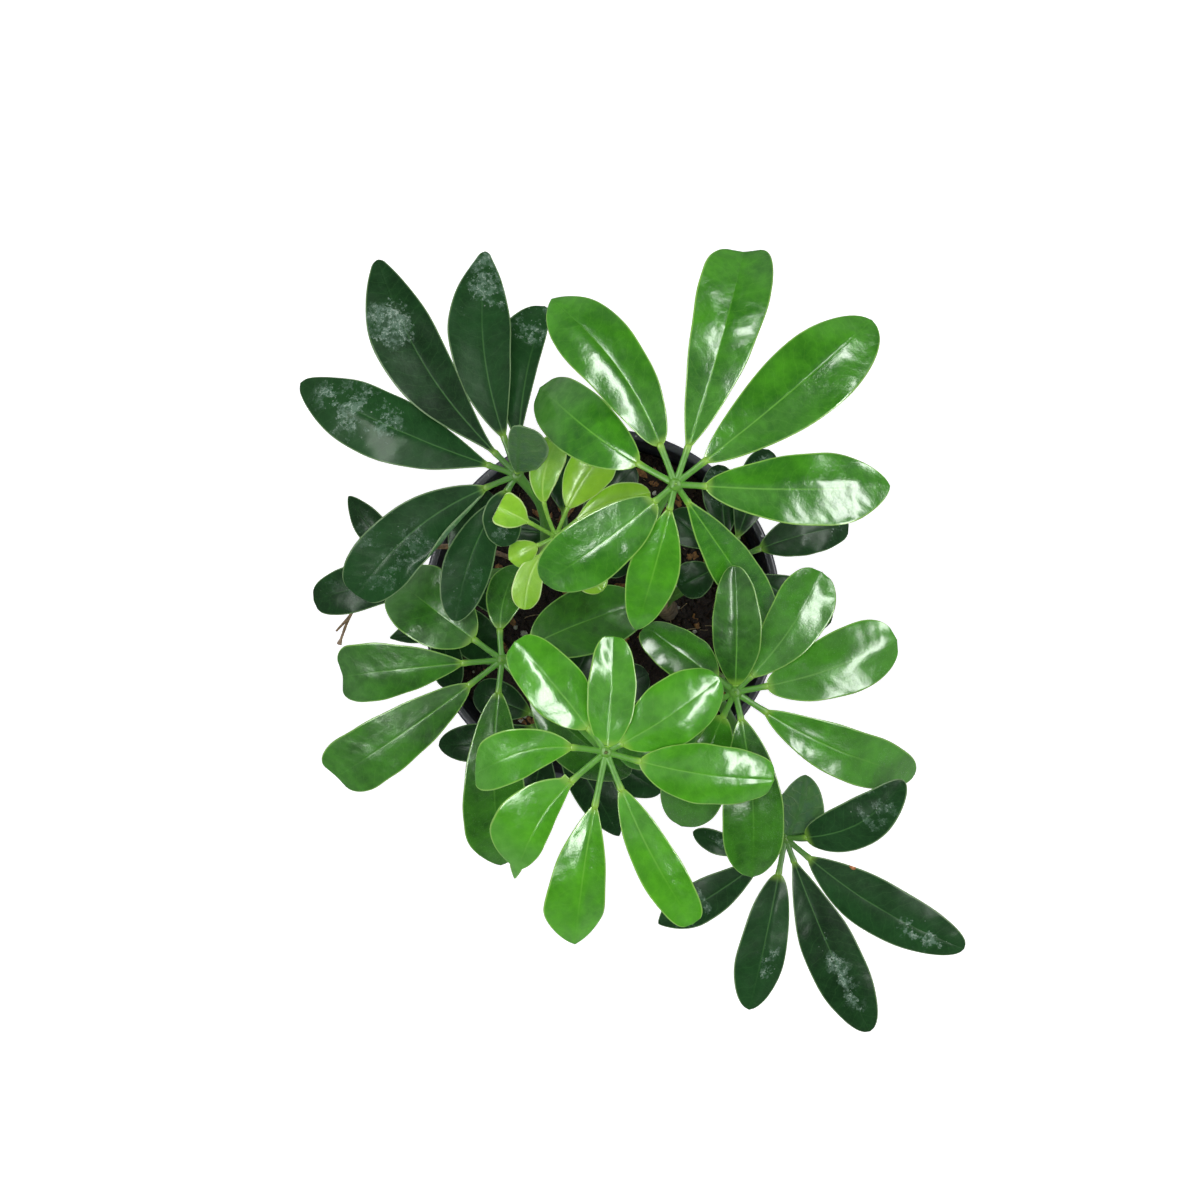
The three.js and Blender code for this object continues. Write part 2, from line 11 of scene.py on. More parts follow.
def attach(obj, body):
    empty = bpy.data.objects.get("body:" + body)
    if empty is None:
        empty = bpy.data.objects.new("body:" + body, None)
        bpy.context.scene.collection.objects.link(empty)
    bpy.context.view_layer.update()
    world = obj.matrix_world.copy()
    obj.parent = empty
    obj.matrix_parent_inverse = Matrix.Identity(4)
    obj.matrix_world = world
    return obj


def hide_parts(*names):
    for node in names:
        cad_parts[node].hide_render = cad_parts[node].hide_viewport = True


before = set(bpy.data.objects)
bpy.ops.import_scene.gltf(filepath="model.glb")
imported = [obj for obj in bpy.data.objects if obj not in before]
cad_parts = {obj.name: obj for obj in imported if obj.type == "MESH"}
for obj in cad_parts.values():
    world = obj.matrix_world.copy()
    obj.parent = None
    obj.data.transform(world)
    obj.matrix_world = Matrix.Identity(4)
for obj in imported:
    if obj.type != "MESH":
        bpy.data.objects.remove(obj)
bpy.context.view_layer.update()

MM = 0.001
BODY = "root"
SEED = 20

# Pot
POT_HEIGHT = 110.0
RIM_RADIUS = 65.0
BASE_RADIUS = 47.5
WALL = 1.5
COLLAR_HEIGHT = 17.0
COLLAR_STEP = 2.2
LIP_DEPTH = 2.4
FOOT_RECESS = 1.4
POT_FLOOR = FOOT_RECESS + 2.0
FOOT_INNER_RADIUS = 38.0
BASE_DISC_RADIUS = 20.0
DRAIN_COUNT = 6
DRAIN_RADIUS = 4.0
DRAIN_CIRCLE = 29.0
DRAIN_SIDES = 40
CORNER_RADIUS = 0.8
POT_SIDES = 180

# Soil. The spans are the least and the greatest radius of a grain in its three directions, before scaling.
SOIL_TOP = 91.0
SOIL_RELIEF = 1.3
SOIL_GAP = 0.3
SOIL_SIDES = 180
SOIL_RINGS = 70
CRUMB_COUNT = 2600
CRUMB_SPANS = ((0.8, 1.5), (0.7, 1.1), (0.6, 0.9))
CHIP_COUNT = 120
CHIP_SPANS = ((1.5, 5.0), (0.7, 1.7), (0.35, 0.8))
PERLITE_COUNT = 60
FIBRE_COUNT = 80
FIBRE_ROWS = 22
FIBRE_SIDES = 6

# Stems and leaf stalks
STEM_ROWS = 190
STEM_SIDES = 28
BUD_COUNT = 3
BUD_ROWS = 14
BUD_SIDES = 10
DRY_ROWS = 120
DRY_SIDES = 12
FORK_ROWS = 16
FORK_SIDES = 10
SPAN_STEPS = 40
CENTRE_STEPS = 201
STALK_RADIUS = 0.9
YOUNG_STALK_RADIUS = 0.62
STALK_ROWS = 16
STALK_SIDES = 12
HUB_RADIUS = 2.1
HUB_ROWS = 14
HUB_SIDES = 18
PETIOLE_TOP_RADIUS = 1.4
PETIOLE_BASE_RADIUS = 2.1
PETIOLE_ROWS = 60
PETIOLE_SIDES = 16

# Blades. The columns are the steps across half a blade that the mesh keeps, closest at the rib and the rim.
BLADE_MIDDLE_THICKNESS = 0.55
BLADE_EDGE_THICKNESS = 0.32
RIM_BULGE = 0.14
DRIP_HALF_WIDTH = 1.9
RIB_STEPS = 60
ROW_LENGTH = 0.8
FEWEST_ROWS = 26
MOST_ROWS = 84
SECTION_STEPS = 40
SECTION_COLUMNS = (0, 1, 3, 6, 9, 13, 17, 21, 25, 29, 33, 36, 38, 40)
VEIN_SPACING = 4.2
VEIN_SLANT = 0.8
TONE_SPREAD = 0.12
UPPER_SIDE = 0
UNDER_SIDE = 1
STALK_PART = 2

# Stage and camera, with the floor and the light's aim in metres
FLOOR_REACH = 6.0
LIGHT_AIM = Vector((0.0, 0.0, 0.22))
CAMERA_HEIGHT = 860.0
CAMERA_ASIDE = (-0.73, 2.72)
FOCAL_PIXELS = 2065.5
IMAGE_PIXELS = 1200
SENSOR = 36.0

# Each stem is a line of points from inside the soil to its shoot tip
STEMS = {
    "stem_right": {
        "radius": 4.0,
        "points": [(26, -4, 60), (24.5, -1, 92), (20, 3, 130), (15, 9, 170), (13, 12, 203)],
    },
    "stem_front": {
        "radius": 3.8,
        "points": [(-13, -9, 60), (-16, -12, 92), (-18, -15, 130), (-20, -17, 165), (-21, -18, 192)],
    },
    "stem_back": {
        "radius": 3.6,
        "points": [(-16, 8, 60), (-17, 10, 92), (-19, 12, 130), (-20, 14, 170), (-17, 18, 206)],
    },
    "stem_side": {
        "radius": 3.4,
        "points": [(31, -17, 60), (32, -19, 92), (34, -21, 130), (36, -23, 165), (38, -24, 196)],
    },
}


def leaflet(az, reach, stalk, width, **shape):
    """One leaflet as seen from above. az is its compass angle from +X, reach and stalk are the distances
    from the hub to its tip and to its blade. It leaves the hub at the angle rise above level and ends at
    the angle fall below level, and a greater bend puts more of that turn near its tip. roll turns all of it
    about its rib. bow is its sideways bend, to the left where positive.
    Its outline is widest at the share widest of the blade, taper and blunt say how much it narrows to its
    base and to its tip, lean is the share of width that its right half gives to its left one, drip the
    share drawn out into a tip, and tip the radius of its end. notch pulls the end of the rib back and lobe
    lets the left half end further out.
    hang says in degrees how the blade lies: turned about its rib, twisted along it, and how far its left
    and its right half slope down. curl rolls up a margin, the left one where positive, and puff swells both
    halves.
    dust says how much dried water marks it, and patch where: from which share of the blade to which, round
    which share across it, and how wide. gloss is how shiny it is, tone how much lighter than its leaf,
    fade how much painted sheen pales its tip: a greyish film that stands in for the bright room
    reflected by a steeply drooping tip. wilt is the place of a brown spot: its share along the blade and
    across a half."""
    plain = {
        "rise": 8, "fall": 34, "bend": 1.2, "roll": 0, "bow": 0, "widest": 0.62, "taper": 0.85,
        "blunt": 0.45, "lean": 0, "drip": 0, "tip": 0.4, "notch": 0, "lobe": 0, "hang": (0, 0, 9, 9),
        "curl": 0, "puff": 0.05, "dust": 0.15, "patch": (0.45, 0.9, 0, 1.5), "gloss": 1, "tone": 0,
        "fade": 0, "wilt": None,
    }
    return {"az": az, "reach": reach, "stalk": stalk, "width": width, **plain, **shape}


# Each compound leaf has its finish, how brown the bud on its hub is, how light its blades are, its hub, the
# stem and height it grows from, the points that its petiole passes on the way up, and its leaflets
LEAVES = {
    "leaf_back_left": {
        "finish": "dark", "bud": 0.1, "tone": 0.4, "hub": (-25.9, 40.7, 232), "stem": "stem_back",
        "height": 178, "via": [(-18, 24, 200), (-19.5, 33, 221)],
        "leaflets": [
            leaflet(156.5, 74, 9, 21, bow=2, widest=0.56, taper=0.9, blunt=0.6, tip=1.5,
                    hang=(16, -6, 22, 8), puff=0, dust=1, patch=(0.46, 0.86, -0.1, 0.8), tone=0.4),
            leaflet(123, 80.5, 9, 20, bow=5.5, fall=30, widest=0.58, taper=1.1, blunt=0.75, lean=0.14,
                    tip=1.6, hang=(3, 2, 1, 7), puff=-0.02, dust=0.95, patch=(0.6, 0.8, 0.3, 0.8),
                    tone=-0.15),
            leaflet(98.5, 71, 12, 19, bow=4.5, widest=0.56, taper=0.75, blunt=0.85, lean=0.1, tip=1.5,
                    hang=(2, -1, 5, 8), puff=-0.03, dust=0.8, patch=(0.68, 1, 0, 1.5)),
            leaflet(81.5, 54, 11, 13.5, bow=2, rise=0, widest=0.72, taper=0.7, blunt=0.4, lean=0.55,
                    hang=(-1, -1, 5, 2), puff=-0.08, dust=0.8, patch=(0.7, 1, 0, 1.5)),
            leaflet(81, 12.5, 1, 12, rise=72, fall=-66, roll=180, widest=0.7, taper=0.5, blunt=0.3,
                    lean=0.5),
            leaflet(216, 62, 10, 19.5, bow=-5, fall=30, widest=0.7, taper=0.7, blunt=0.25,
                    hang=(-6, -2, 15, -6), curl=1, puff=0.01, dust=0.35, tone=0.2),
            leaflet(245.5, 49, 7, 15, bow=-3.5, rise=-28, fall=12, widest=0.64, taper=0.9, blunt=0.5,
                    hang=(-3, -1, 9, 1), puff=-0.01, dust=0.2),
            leaflet(262, 21.5, 5, 11.5, bow=-3.5, rise=-14, fall=24, widest=0.58, taper=0.7, blunt=0.35,
                    hang=(-2, 1, 9, 4), puff=-0.03, dust=0.5),
        ],
    },
    "leaf_back_right": {
        "finish": "bright", "bud": 0.1, "tone": 0.2, "hub": (20.7, 35.7, 272), "stem": "stem_right",
        "height": 188, "via": [(13, 21, 224), (17, 31, 254)],
        "leaflets": [
            leaflet(123, 66, 11.5, 19.5, bow=-4.5, fall=40, widest=0.68, taper=0.5, blunt=0.65, notch=0.8,
                    lobe=1, hang=(-1, 1, 16, 9)),
            leaflet(73.5, 73.5, 11, 21.5, bow=-1, fall=38, widest=0.8, taper=0.75, blunt=0.25, notch=2.4,
                    lobe=-6.5, hang=(5, 10, -6, 3), tone=-0.1),
            leaflet(40, 76.5, 10.5, 23.5, bow=-1, taper=0.7, blunt=0.55, notch=1.2, lobe=-1,
                    hang=(-7, 4, 14, 2), puff=-0.04),
            leaflet(0, 62.5, 8.5, 21, bow=-1.5, fall=30, taper=0.6, blunt=0.6, hang=(0, 7, 23, -9),
                    puff=-0.08),
            leaflet(307.5, 51, 6, 13.5, rise=-33, fall=50, widest=0.58, taper=0.8, blunt=0.3, gloss=0.8,
                    tone=-0.7),
            leaflet(255.5, 43, 7, 14.5, bow=0.5, rise=-10, fall=50, widest=0.48, blunt=0.6,
                    hang=(0, 0, 9, 8), puff=-0.07, tone=0.3),
            leaflet(216.5, 47, 7.5, 19, bow=1, rise=0, fall=44, widest=0.64, taper=0.45,
                    hang=(-1, -18, 11, -3), puff=-0.01),
            leaflet(142, 50, 12, 19, bow=2.5, rise=-10, fall=64, bend=1.3, widest=0.52, taper=0.55,
                    blunt=0.25, hang=(1, -3, 18, 14), puff=-0.08, fade=0.7),
        ],
    },
    "leaf_young": {
        "finish": "lime", "bud": 0.1, "tone": 0.6, "hub": (-14.3, 22.2, 222), "stem": "stem_back",
        "height": 203, "via": [],
        "leaflets": [
            leaflet(88, 30, 10.5, 10, bow=4.5, rise=30, fall=-10, widest=0.68, taper=0.6, blunt=0.35,
                    hang=(-1, 8, 0, -8), puff=-0.08, gloss=0.6, tone=-0.3),
            leaflet(58, 33, 9.5, 14, bow=2, rise=30, fall=0, widest=0.6, taper=0.65, blunt=0.5,
                    hang=(4, 3, 29, 12), puff=0.02, tone=0.3),
            leaflet(25, 32, 8, 10, bow=2.5, rise=22, fall=20, hang=(-4, 4, 6, -12), puff=0.09, tone=0.3),
            leaflet(311, 22, 7, 10, rise=10, fall=20),
            leaflet(246, 24.5, 7.5, 9, bow=-2.5, rise=12, fall=22, widest=0.64, taper=0.5, blunt=0.4,
                    hang=(-1, 0, 9, 1), puff=0, gloss=0.3, tone=-0.1),
            leaflet(205.5, 16, 6.5, 8.5, rise=34, fall=40, widest=0.76, taper=0.5, blunt=0.25,
                    hang=(0, 0, 32, 32), puff=0, gloss=0.4, tone=-0.2),
            leaflet(152.5, 20, 9.5, 10.5, rise=48, fall=-20, widest=0.84, taper=0.8, blunt=0.15, notch=0.8,
                    hang=(0, 0, -30, -30), puff=0, gloss=0.4, tone=-0.2),
        ],
    },
    "leaf_left": {
        "finish": "mid", "bud": 0.1, "tone": 0.15, "hub": (-31.8, -16.3, 205), "stem": "stem_front",
        "height": 150, "via": [(-28, -16, 180)],
        "leaflets": [
            leaflet(81.5, 30.5, 9.5, 12, bow=2.5, fall=30, widest=0.6, taper=0.65, blunt=0.6,
                    hang=(1, -1, 4, 8), puff=-0.08, fade=0.8),
            leaflet(143.5, 42, 11, 23.5, fall=52, bend=1.6, widest=0.52, taper=0.5, blunt=0.3,
                    hang=(2, 3, -10, -5), puff=0.08, gloss=0.6, fade=0.9),
            leaflet(186, 54, 12.5, 20, bow=-0.5, fall=36, widest=0.8, taper=0.75, blunt=0.25, notch=2.5,
                    lobe=2.5, hang=(-13, 0, 11, -5), puff=-0.01, gloss=0.3, fade=0.4),
            leaflet(215, 67.5, 13, 20, bow=1, fall=36, widest=0.8, taper=0.6, blunt=0.25, notch=1.6,
                    lobe=-1.5, hang=(-4, -2, 10, -3), puff=-0.01, gloss=0.3, fade=0.15),
            leaflet(269, 67, 10, 21, bow=-2, fall=38, widest=0.76, taper=0.6, blunt=0.6, hang=(-1, 1, 9, 7),
                    puff=-0.07),
            leaflet(317.5, 55, 13, 21, bow=-2, fall=30, widest=0.58, blunt=0.6, hang=(7, -5, 2, 4),
                    puff=0.13),
            leaflet(22, 49, 10.5, 22, bow=1.5, rise=2, fall=30, widest=0.5, taper=0.5,
                    hang=(-9, -6, 10, -5), puff=-0.01, gloss=0.6, tone=-0.1),
        ],
    },
    "leaf_front": {
        "finish": "bright", "bud": 1.0, "tone": 0.75, "hub": (1.0, -41.3, 262), "stem": "stem_front",
        "height": 186, "via": [(-21.5, -19, 212), (-14, -27, 240)],
        "leaflets": [
            leaflet(130, 41.5, 8.5, 17, bow=-1, fall=26, widest=0.42, taper=0.65, blunt=0.25,
                    hang=(3, -2, 22, 15), puff=-0.05),
            leaflet(86.5, 33.5, 1.5, 14, bow=-0.5, rise=12, fall=20, widest=0.48, taper=0.45, blunt=0.3,
                    hang=(7, 16, -10, -7), puff=0.04),
            leaflet(32.5, 39.5, 5, 19.5, bow=-1, rise=6, fall=24, widest=0.54, taper=0.6, blunt=0.4,
                    hang=(3, -4, 13, 22)),
            leaflet(350, 50, 10, 17.5, bow=-1.5, fall=28, widest=0.48, taper=0.6, blunt=0.25,
                    hang=(0, 16, 17, 19), puff=0.08),
            leaflet(296.5, 57.5, 11.5, 13, bow=-1.5, widest=0.6, taper=0.6, blunt=0.25, hang=(1, -1, 6, 9),
                    puff=-0.07, tone=0.1),
            leaflet(261, 59, 16, 17.5, bow=-1, fall=44, widest=0.74, taper=0.7, blunt=0.7, lean=-0.12,
                    hang=(-6, -18, 16, 19), puff=-0.08),
            leaflet(235, 47, 12.5, 17, bow=-4.5, fall=48, widest=0.66, taper=0.7, blunt=0.55, lean=-0.45,
                    drip=0.12, hang=(-3, 0, 8, 4), puff=0, fade=0.8),
            leaflet(190, 39, 9.5, 15.5, bow=-4.5, fall=46, bend=1.5, widest=0.64, taper=0.65, blunt=0.3,
                    lobe=7, hang=(-11, 3, 6, -4), puff=-0.03, gloss=0.5, fade=0.4),
        ],
    },
    "leaf_right": {
        "finish": "mid", "bud": 0.1, "tone": 0.6, "hub": (39.5, -24.7, 245), "stem": "stem_side",
        "height": 182, "via": [(39.5, -24.7, 214)],
        "leaflets": [
            leaflet(91.5, 37.5, 2, 14.5, bow=-0.5, rise=24, fall=-6, widest=0.44, taper=0.6,
                    hang=(-6, -2, 24, 8), puff=0, gloss=0.6, tone=-0.8),
            leaflet(53.5, 44.5, 6.5, 17.5, bow=-2, fall=26, widest=0.68, taper=0.7, blunt=0.3,
                    hang=(0, 7, 9, 5), puff=-0.08),
            leaflet(17.5, 51.5, 9.5, 19.5, bow=-2, fall=26, widest=0.7, taper=0.5, blunt=0.3,
                    hang=(4, 18, 24, 11), puff=-0.08),
            leaflet(335, 65.5, 11, 16.5, bow=-3, rise=-14, fall=58, bend=1.6, widest=0.56, taper=0.65,
                    blunt=0.5, hang=(7, -9, -2, -5), puff=-0.06),
            leaflet(276, 57, 8, 18.5, bow=2, rise=6, widest=0.68, taper=0.65, blunt=0.4,
                    hang=(5, -9, 14, 16), puff=-0.08, tone=-0.5),
            leaflet(250.5, 45, 8, 20, bow=-1.5, rise=-12, fall=46, widest=0.6, taper=0.55, blunt=0.35,
                    hang=(2, -1, 10, 10), puff=0.02),
            leaflet(212.5, 40, 7.5, 18, bow=-1, rise=-10, widest=0.56, taper=0.6, hang=(-4, 4, -2, 15)),
            leaflet(144, 33, 6.5, 14.5, rise=-2, widest=0.4, taper=0.65, blunt=0.3, hang=(9, 16, 6, 17),
                    tone=-0.3),
        ],
    },
    "leaf_front_right": {
        "finish": "dark", "bud": 0.1, "tone": 0.4, "hub": (58.0, -72.8, 205), "stem": "stem_side",
        "height": 134, "via": [(40, -32, 165), (52, -56, 192)],
        "leaflets": [
            leaflet(75, 21.5, 0.5, 16, bow=-1.5, rise=30, fall=-10, roll=180, widest=0.38, taper=0.45,
                    blunt=0.6, hang=(-6, 13, 24, 12), puff=0.11),
            leaflet(31.5, 39.5, 5.5, 15.5, bow=-5.5, rise=44, fall=-22, widest=0.44, taper=0.45, blunt=0.55,
                    hang=(3, 5, 3, 8), puff=-0.06, dust=0.5),
            leaflet(328, 68.5, 9.5, 17.5, bow=-3, fall=24, widest=0.48, taper=0.7, hang=(4, -1, -1, 14),
                    dust=1, patch=(0.6, 0.86, -0.1, 0.5), wilt=(0.21, 0.72)),
            leaflet(294, 69, 7.5, 17.5, bow=-1.5, fall=26, widest=0.56, taper=0.9, hang=(3, -7, 4, 13),
                    dust=1, patch=(0.4, 0.84, 0, 0.3), tone=-0.3),
            leaflet(259, 57, 11.5, 15.5, fall=28, taper=0.5, blunt=0.5, hang=(-3, 3, 23, 10), puff=-0.03,
                    dust=0.7, patch=(0.36, 0.74, 0.35, 0.35)),
            leaflet(215.5, 49, 9.5, 13.5, bow=1.5, fall=32, widest=0.66, blunt=0.75, hang=(-1, 3, 8, 5),
                    puff=0, dust=0.5),
            leaflet(177.5, 29, 8.5, 8, bow=3.5, roll=-20, widest=0.64, taper=0.9, blunt=0.6,
                    hang=(-1, 14, -7, 5), puff=-0.08, dust=0.5),
        ],
    },
    "leaf_low_left": {
        "finish": "dark", "bud": 0.1, "tone": 0.3, "hub": (-54.3, 9.4, 168), "stem": "stem_back",
        "height": 122, "via": [(-36, 12, 148)],
        "leaflets": [
            leaflet(138, 42.5, 8.5, 10.5, bow=3, widest=0.54, taper=1.3, blunt=0.7),
            leaflet(189, 44, 7.5, 15.5, bow=-2, taper=0.45, blunt=0.3),
            leaflet(228.5, 26, 6.5, 8.5, bow=6.5, widest=0.52, taper=1.3, blunt=0.9),
            leaflet(275, 36.5, 8, 10.5, bow=-0.5, widest=0.7, taper=0.65, blunt=0.25),
            leaflet(306, 35, 8, 15, bow=-2, widest=0.5, taper=0.8, blunt=0.8),
            leaflet(344, 27, 8, 12),
            leaflet(62, 34, 8, 15),
        ],
    },
    "leaf_low_right": {
        "finish": "dark", "bud": 0.1, "tone": 0.4, "hub": (41.9, 15.4, 172), "stem": "stem_right",
        "height": 122, "via": [(34, 10, 150)],
        "leaflets": [
            leaflet(17, 43, 11.5, 14.5, bow=1.5, widest=0.54, taper=0.6, blunt=0.3, hang=(10, 0, 9, 9),
                    dust=0.6),
            leaflet(69.5, 40.5, 9, 13, taper=0.75, blunt=0.4, dust=0.6),
            leaflet(95, 33, 8, 12.5, rise=2, dust=0.5),
            leaflet(139, 25, 7, 12.5),
            leaflet(207, 18.5, 5, 12.5, taper=0.65, blunt=0.35, dust=0.4),
            leaflet(330, 40.5, 9, 15.5),
            leaflet(283, 31, 8, 13.5),
        ],
    },
    "leaf_low_front": {
        "finish": "dark", "bud": 0.1, "tone": 0.3, "hub": (-17.7, -37.4, 170), "stem": "stem_front",
        "height": 118, "via": [(-19, -29, 146)],
        "leaflets": [
            leaflet(300.5, 46, 8, 14, bow=1, widest=0.5, taper=0.55, blunt=0.7),
            leaflet(326.5, 45.5, 10, 15, rise=-2),
            leaflet(24.5, 36.5, 8, 14, taper=0.7, blunt=0.35),
            leaflet(60, 27, 7, 12),
            leaflet(159, 27, 7, 13, taper=0.65, blunt=0.35),
            leaflet(193.5, 38.5, 6, 12.5, bow=2, widest=0.64, taper=0.8, blunt=0.5),
            leaflet(258, 34, 8, 14),
        ],
    },
    "leaf_low_back": {
        "finish": "dark", "bud": 0.1, "tone": 0.3, "hub": (-11.9, 24.5, 178), "stem": "stem_back",
        "height": 142, "via": [(-15, 20, 162)],
        "leaflets": [
            leaflet(45, 32, 7, 12.5),
            leaflet(95, 28, 7, 11),
            leaflet(176, 20, 6, 10.5, taper=0.65, blunt=0.35),
            leaflet(330, 24, 6, 11),
            leaflet(284, 20, 6, 10),
        ],
    },
}

DRY_STALK = {
    "stem": "stem_back", "height": 106,
    "points": [(-40, 20, 126), (-64, 20, 142), (-80, 9, 148), (-87, -3, 148), (-91, -12.5, 145)],
    "fork": [(-87, -3, 148), (-91.5, -8, 149.5)],
    "base_radius": 1.0, "tip_radius": 0.5,
}


# Mesh building


class Shells:
    """Collects closed shells of one piece, with a material index per face and three vectors per point:
    place says where on its blade a point is, trait and mark what its material shows there"""

    LABELS = ("place", "trait", "mark")

    def __init__(self):
        self.points = []
        self.vectors = {label: [] for label in self.LABELS}
        self.faces = []
        self.kinds = []
        self.count = 0

    def add_rings(self, rings, kinds=0, **vectors):
        """Joins equal rings of points into a tube with both ends closed, its faces pointing out. kinds is
        the material index of its faces, for all of them or for each side."""
        rows, sides = rings.shape[:2]
        kinds = np.broadcast_to(kinds, sides).tolist()
        index = np.arange(rows * sides).reshape(rows, sides) + self.count
        near, far = index[:-1], index[1:]
        quads = np.stack([near, np.roll(near, -1, 1), np.roll(far, -1, 1), far], 2).reshape(-1, 4)
        faces = quads.tolist() + [index[0, ::-1].tolist(), index[-1].tolist()]
        if enclosed_volume(rings) < 0:
            faces = [face[::-1] for face in faces]
        self.faces.extend(faces)
        self.kinds.extend(kinds * (rows - 1) + kinds[:1] * 2)
        self.points.append(rings.reshape(-1, 3))
        for label in self.LABELS:
            values = np.broadcast_to(vectors.get(label, (0, 0, 0)), rings.shape)
            self.vectors[label].append(values.reshape(-1, 3))
        self.count += rows * sides

    def make(self, name, materials, smooth=True):
        mesh = bpy.data.meshes.new(name)
        mesh.from_pydata((np.concatenate(self.points) * MM).tolist(), [], self.faces)
        for material in materials:
            mesh.materials.append(material)
        mesh.polygons.foreach_set("material_index", self.kinds)
        mesh.polygons.foreach_set("use_smooth", [smooth] * len(self.faces))
        for label, values in self.vectors.items():
            attribute = mesh.attributes.new(label, "FLOAT_VECTOR", "POINT")
            attribute.data.foreach_set("vector", np.concatenate(values).astype(np.float32).ravel())
        mesh.update()
        return put_in_scene(bpy.data.objects.new(name, mesh))


def put_in_scene(item):
    bpy.context.scene.collection.objects.link(item)
    return item


def enclosed_volume(rings):
    """Signed volume inside rings, as their faces are first wound"""
    around = rings - rings.reshape(-1, 3).mean(0)
    a, b = around[:-1], np.roll(around[:-1], -1, 1)
    c, d = np.roll(around[1:], -1, 1), around[1:]
    return (np.cross(b - a, c - a) * a).sum() + (np.cross(c - a, d - a) * a).sum()


def declare(piece, slot, *nodes):
    """Fixes a piece to the body and hides the CAD nodes that it replaces. The slot is not used."""
    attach(piece, BODY)
    if nodes:
        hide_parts(*nodes)
    return piece


def unit(vectors):
    return vectors / np.linalg.norm(vectors, axis=-1, keepdims=True)


def smooth_step(value, low, high):
    share = np.clip((value - low) / (high - low), 0, 1)
    return share * share * (3 - 2 * share)


def bell(value, centre, width):
    return np.exp(-(((value - centre) / width) ** 2))


def full_turn(sides):
    """Equal steps once round, in radians"""
    return np.arange(sides) / sides * 2 * math.pi


def ripple(points, size, seed, waves=9):
    """A smooth seeded field between about -1 and 1, with bumps of about the given size"""
    rng = np.random.default_rng(seed)
    total = np.zeros(points.shape[:-1])
    for direction in unit(rng.normal(size=(waves, points.shape[-1]))):
        turns = (points @ direction) * rng.uniform(0.7, 1.5) / size
        total += np.sin(turns * 2 * math.pi + rng.uniform(0, 2 * math.pi))
    return total / math.sqrt(waves)


def smooth_line(points, count):
    """Equal steps along the centripetal curve through the given points, and how far along they are"""
    knots = np.array(points, float)
    knots = np.vstack([2 * knots[0] - knots[1], knots, 2 * knots[-1] - knots[-2]])
    t = np.linspace(0, 1, SPAN_STEPS)[:, None]
    parts = []
    for p0, p1, p2, p3 in zip(knots, knots[1:], knots[2:], knots[3:]):
        d0, d1, d2 = (math.sqrt(math.dist(a, b)) for a, b in ((p0, p1), (p1, p2), (p2, p3)))
        start = ((p1 - p0) / d0 - (p2 - p0) / (d0 + d1) + (p2 - p1) / d1) * d1
        end = ((p2 - p1) / d1 - (p3 - p1) / (d1 + d2) + (p3 - p2) / d2) * d1
        blend = (2 * t**3 - 3 * t**2 + 1) * p1 + (t**3 - 2 * t**2 + t) * start
        parts.append(blend + (3 * t**2 - 2 * t**3) * p2 + (t**3 - t**2) * end)
    line = np.vstack([part[:-1] for part in parts] + [parts[-1][-1:]])
    walked = np.concatenate([[0], np.cumsum(np.linalg.norm(np.diff(line, axis=0), axis=1))])
    stops = np.linspace(0, walked[-1], count)
    return np.stack([np.interp(stops, walked, line[:, k]) for k in range(3)], 1), stops


def tube_rings(line, radii, sides):
    """Rings round a line, with the radius given for each point of the line, or for each point and side"""
    along = unit(np.gradient(line, axis=0))
    across = unit(np.cross((0, 1, 0), along))
    upward = np.cross(along, across)
    turn = full_turn(sides)
    radii = np.broadcast_to(np.array(radii, float).reshape(len(line), -1), (len(line), sides))
    ring = across[:, None] * np.cos(turn)[None, :, None] + upward[:, None] * np.sin(turn)[None, :, None]
    return line[:, None] + ring * radii[..., None]


def ball_rings(rows, sides, cap, spin=0.0):
    """A ball of radius 1 as rings from pole to pole, the outermost ones at the angle cap from their pole"""
    polar = np.linspace(cap, math.pi - cap, rows)[:, None]
    turn = full_turn(sides)[None] + spin
    return np.stack([
        np.sin(polar) * np.cos(turn),
        np.sin(polar) * np.sin(turn),
        -np.cos(polar) * np.ones_like(turn),
    ], -1)


def vectors_along(x, y, z):
    """One vector per ring, the same for all of its points, from values or rows of values"""
    x, y, z = np.broadcast_arrays(x, y, z)
    return np.stack([x, y, z], -1)[..., None, :]


# Leaves


def rib_line(shape):
    """Distance out and height at equal steps of the rib, and the share of the rib where the blade begins"""
    middles = (np.arange(RIB_STEPS) + 0.5) / RIB_STEPS
    angles = np.radians(shape["rise"] - (shape["rise"] + shape["fall"]) * middles ** shape["bend"])
    out = np.concatenate([[0], np.cumsum(np.cos(angles))])
    height = np.concatenate([[0], np.cumsum(np.sin(angles))])
    scale = shape["reach"] / out.max()
    out, height = out * scale, height * scale
    after = np.argmax(out >= shape["stalk"])
    over = (out[after] - shape["stalk"]) / (out[after] - out[after - 1])
    return out, height, (after - over) / RIB_STEPS


def rib_points(shape, hub, shares):
    """Points of the bent rib at the given shares of its length"""
    out, height, _ = rib_line(shape)
    steps = np.linspace(0, 1, RIB_STEPS + 1)
    here = np.interp(shares, steps, out)
    az = math.radians(shape["az"])
    aside = shape["bow"] * np.sin(math.pi * np.minimum(here / shape["reach"], 1))
    return np.stack([
        hub[0] + here * math.cos(az) - aside * math.sin(az),
        hub[1] + here * math.sin(az) + aside * math.cos(az),
        hub[2] + np.interp(shares, steps, height),
    ], -1)


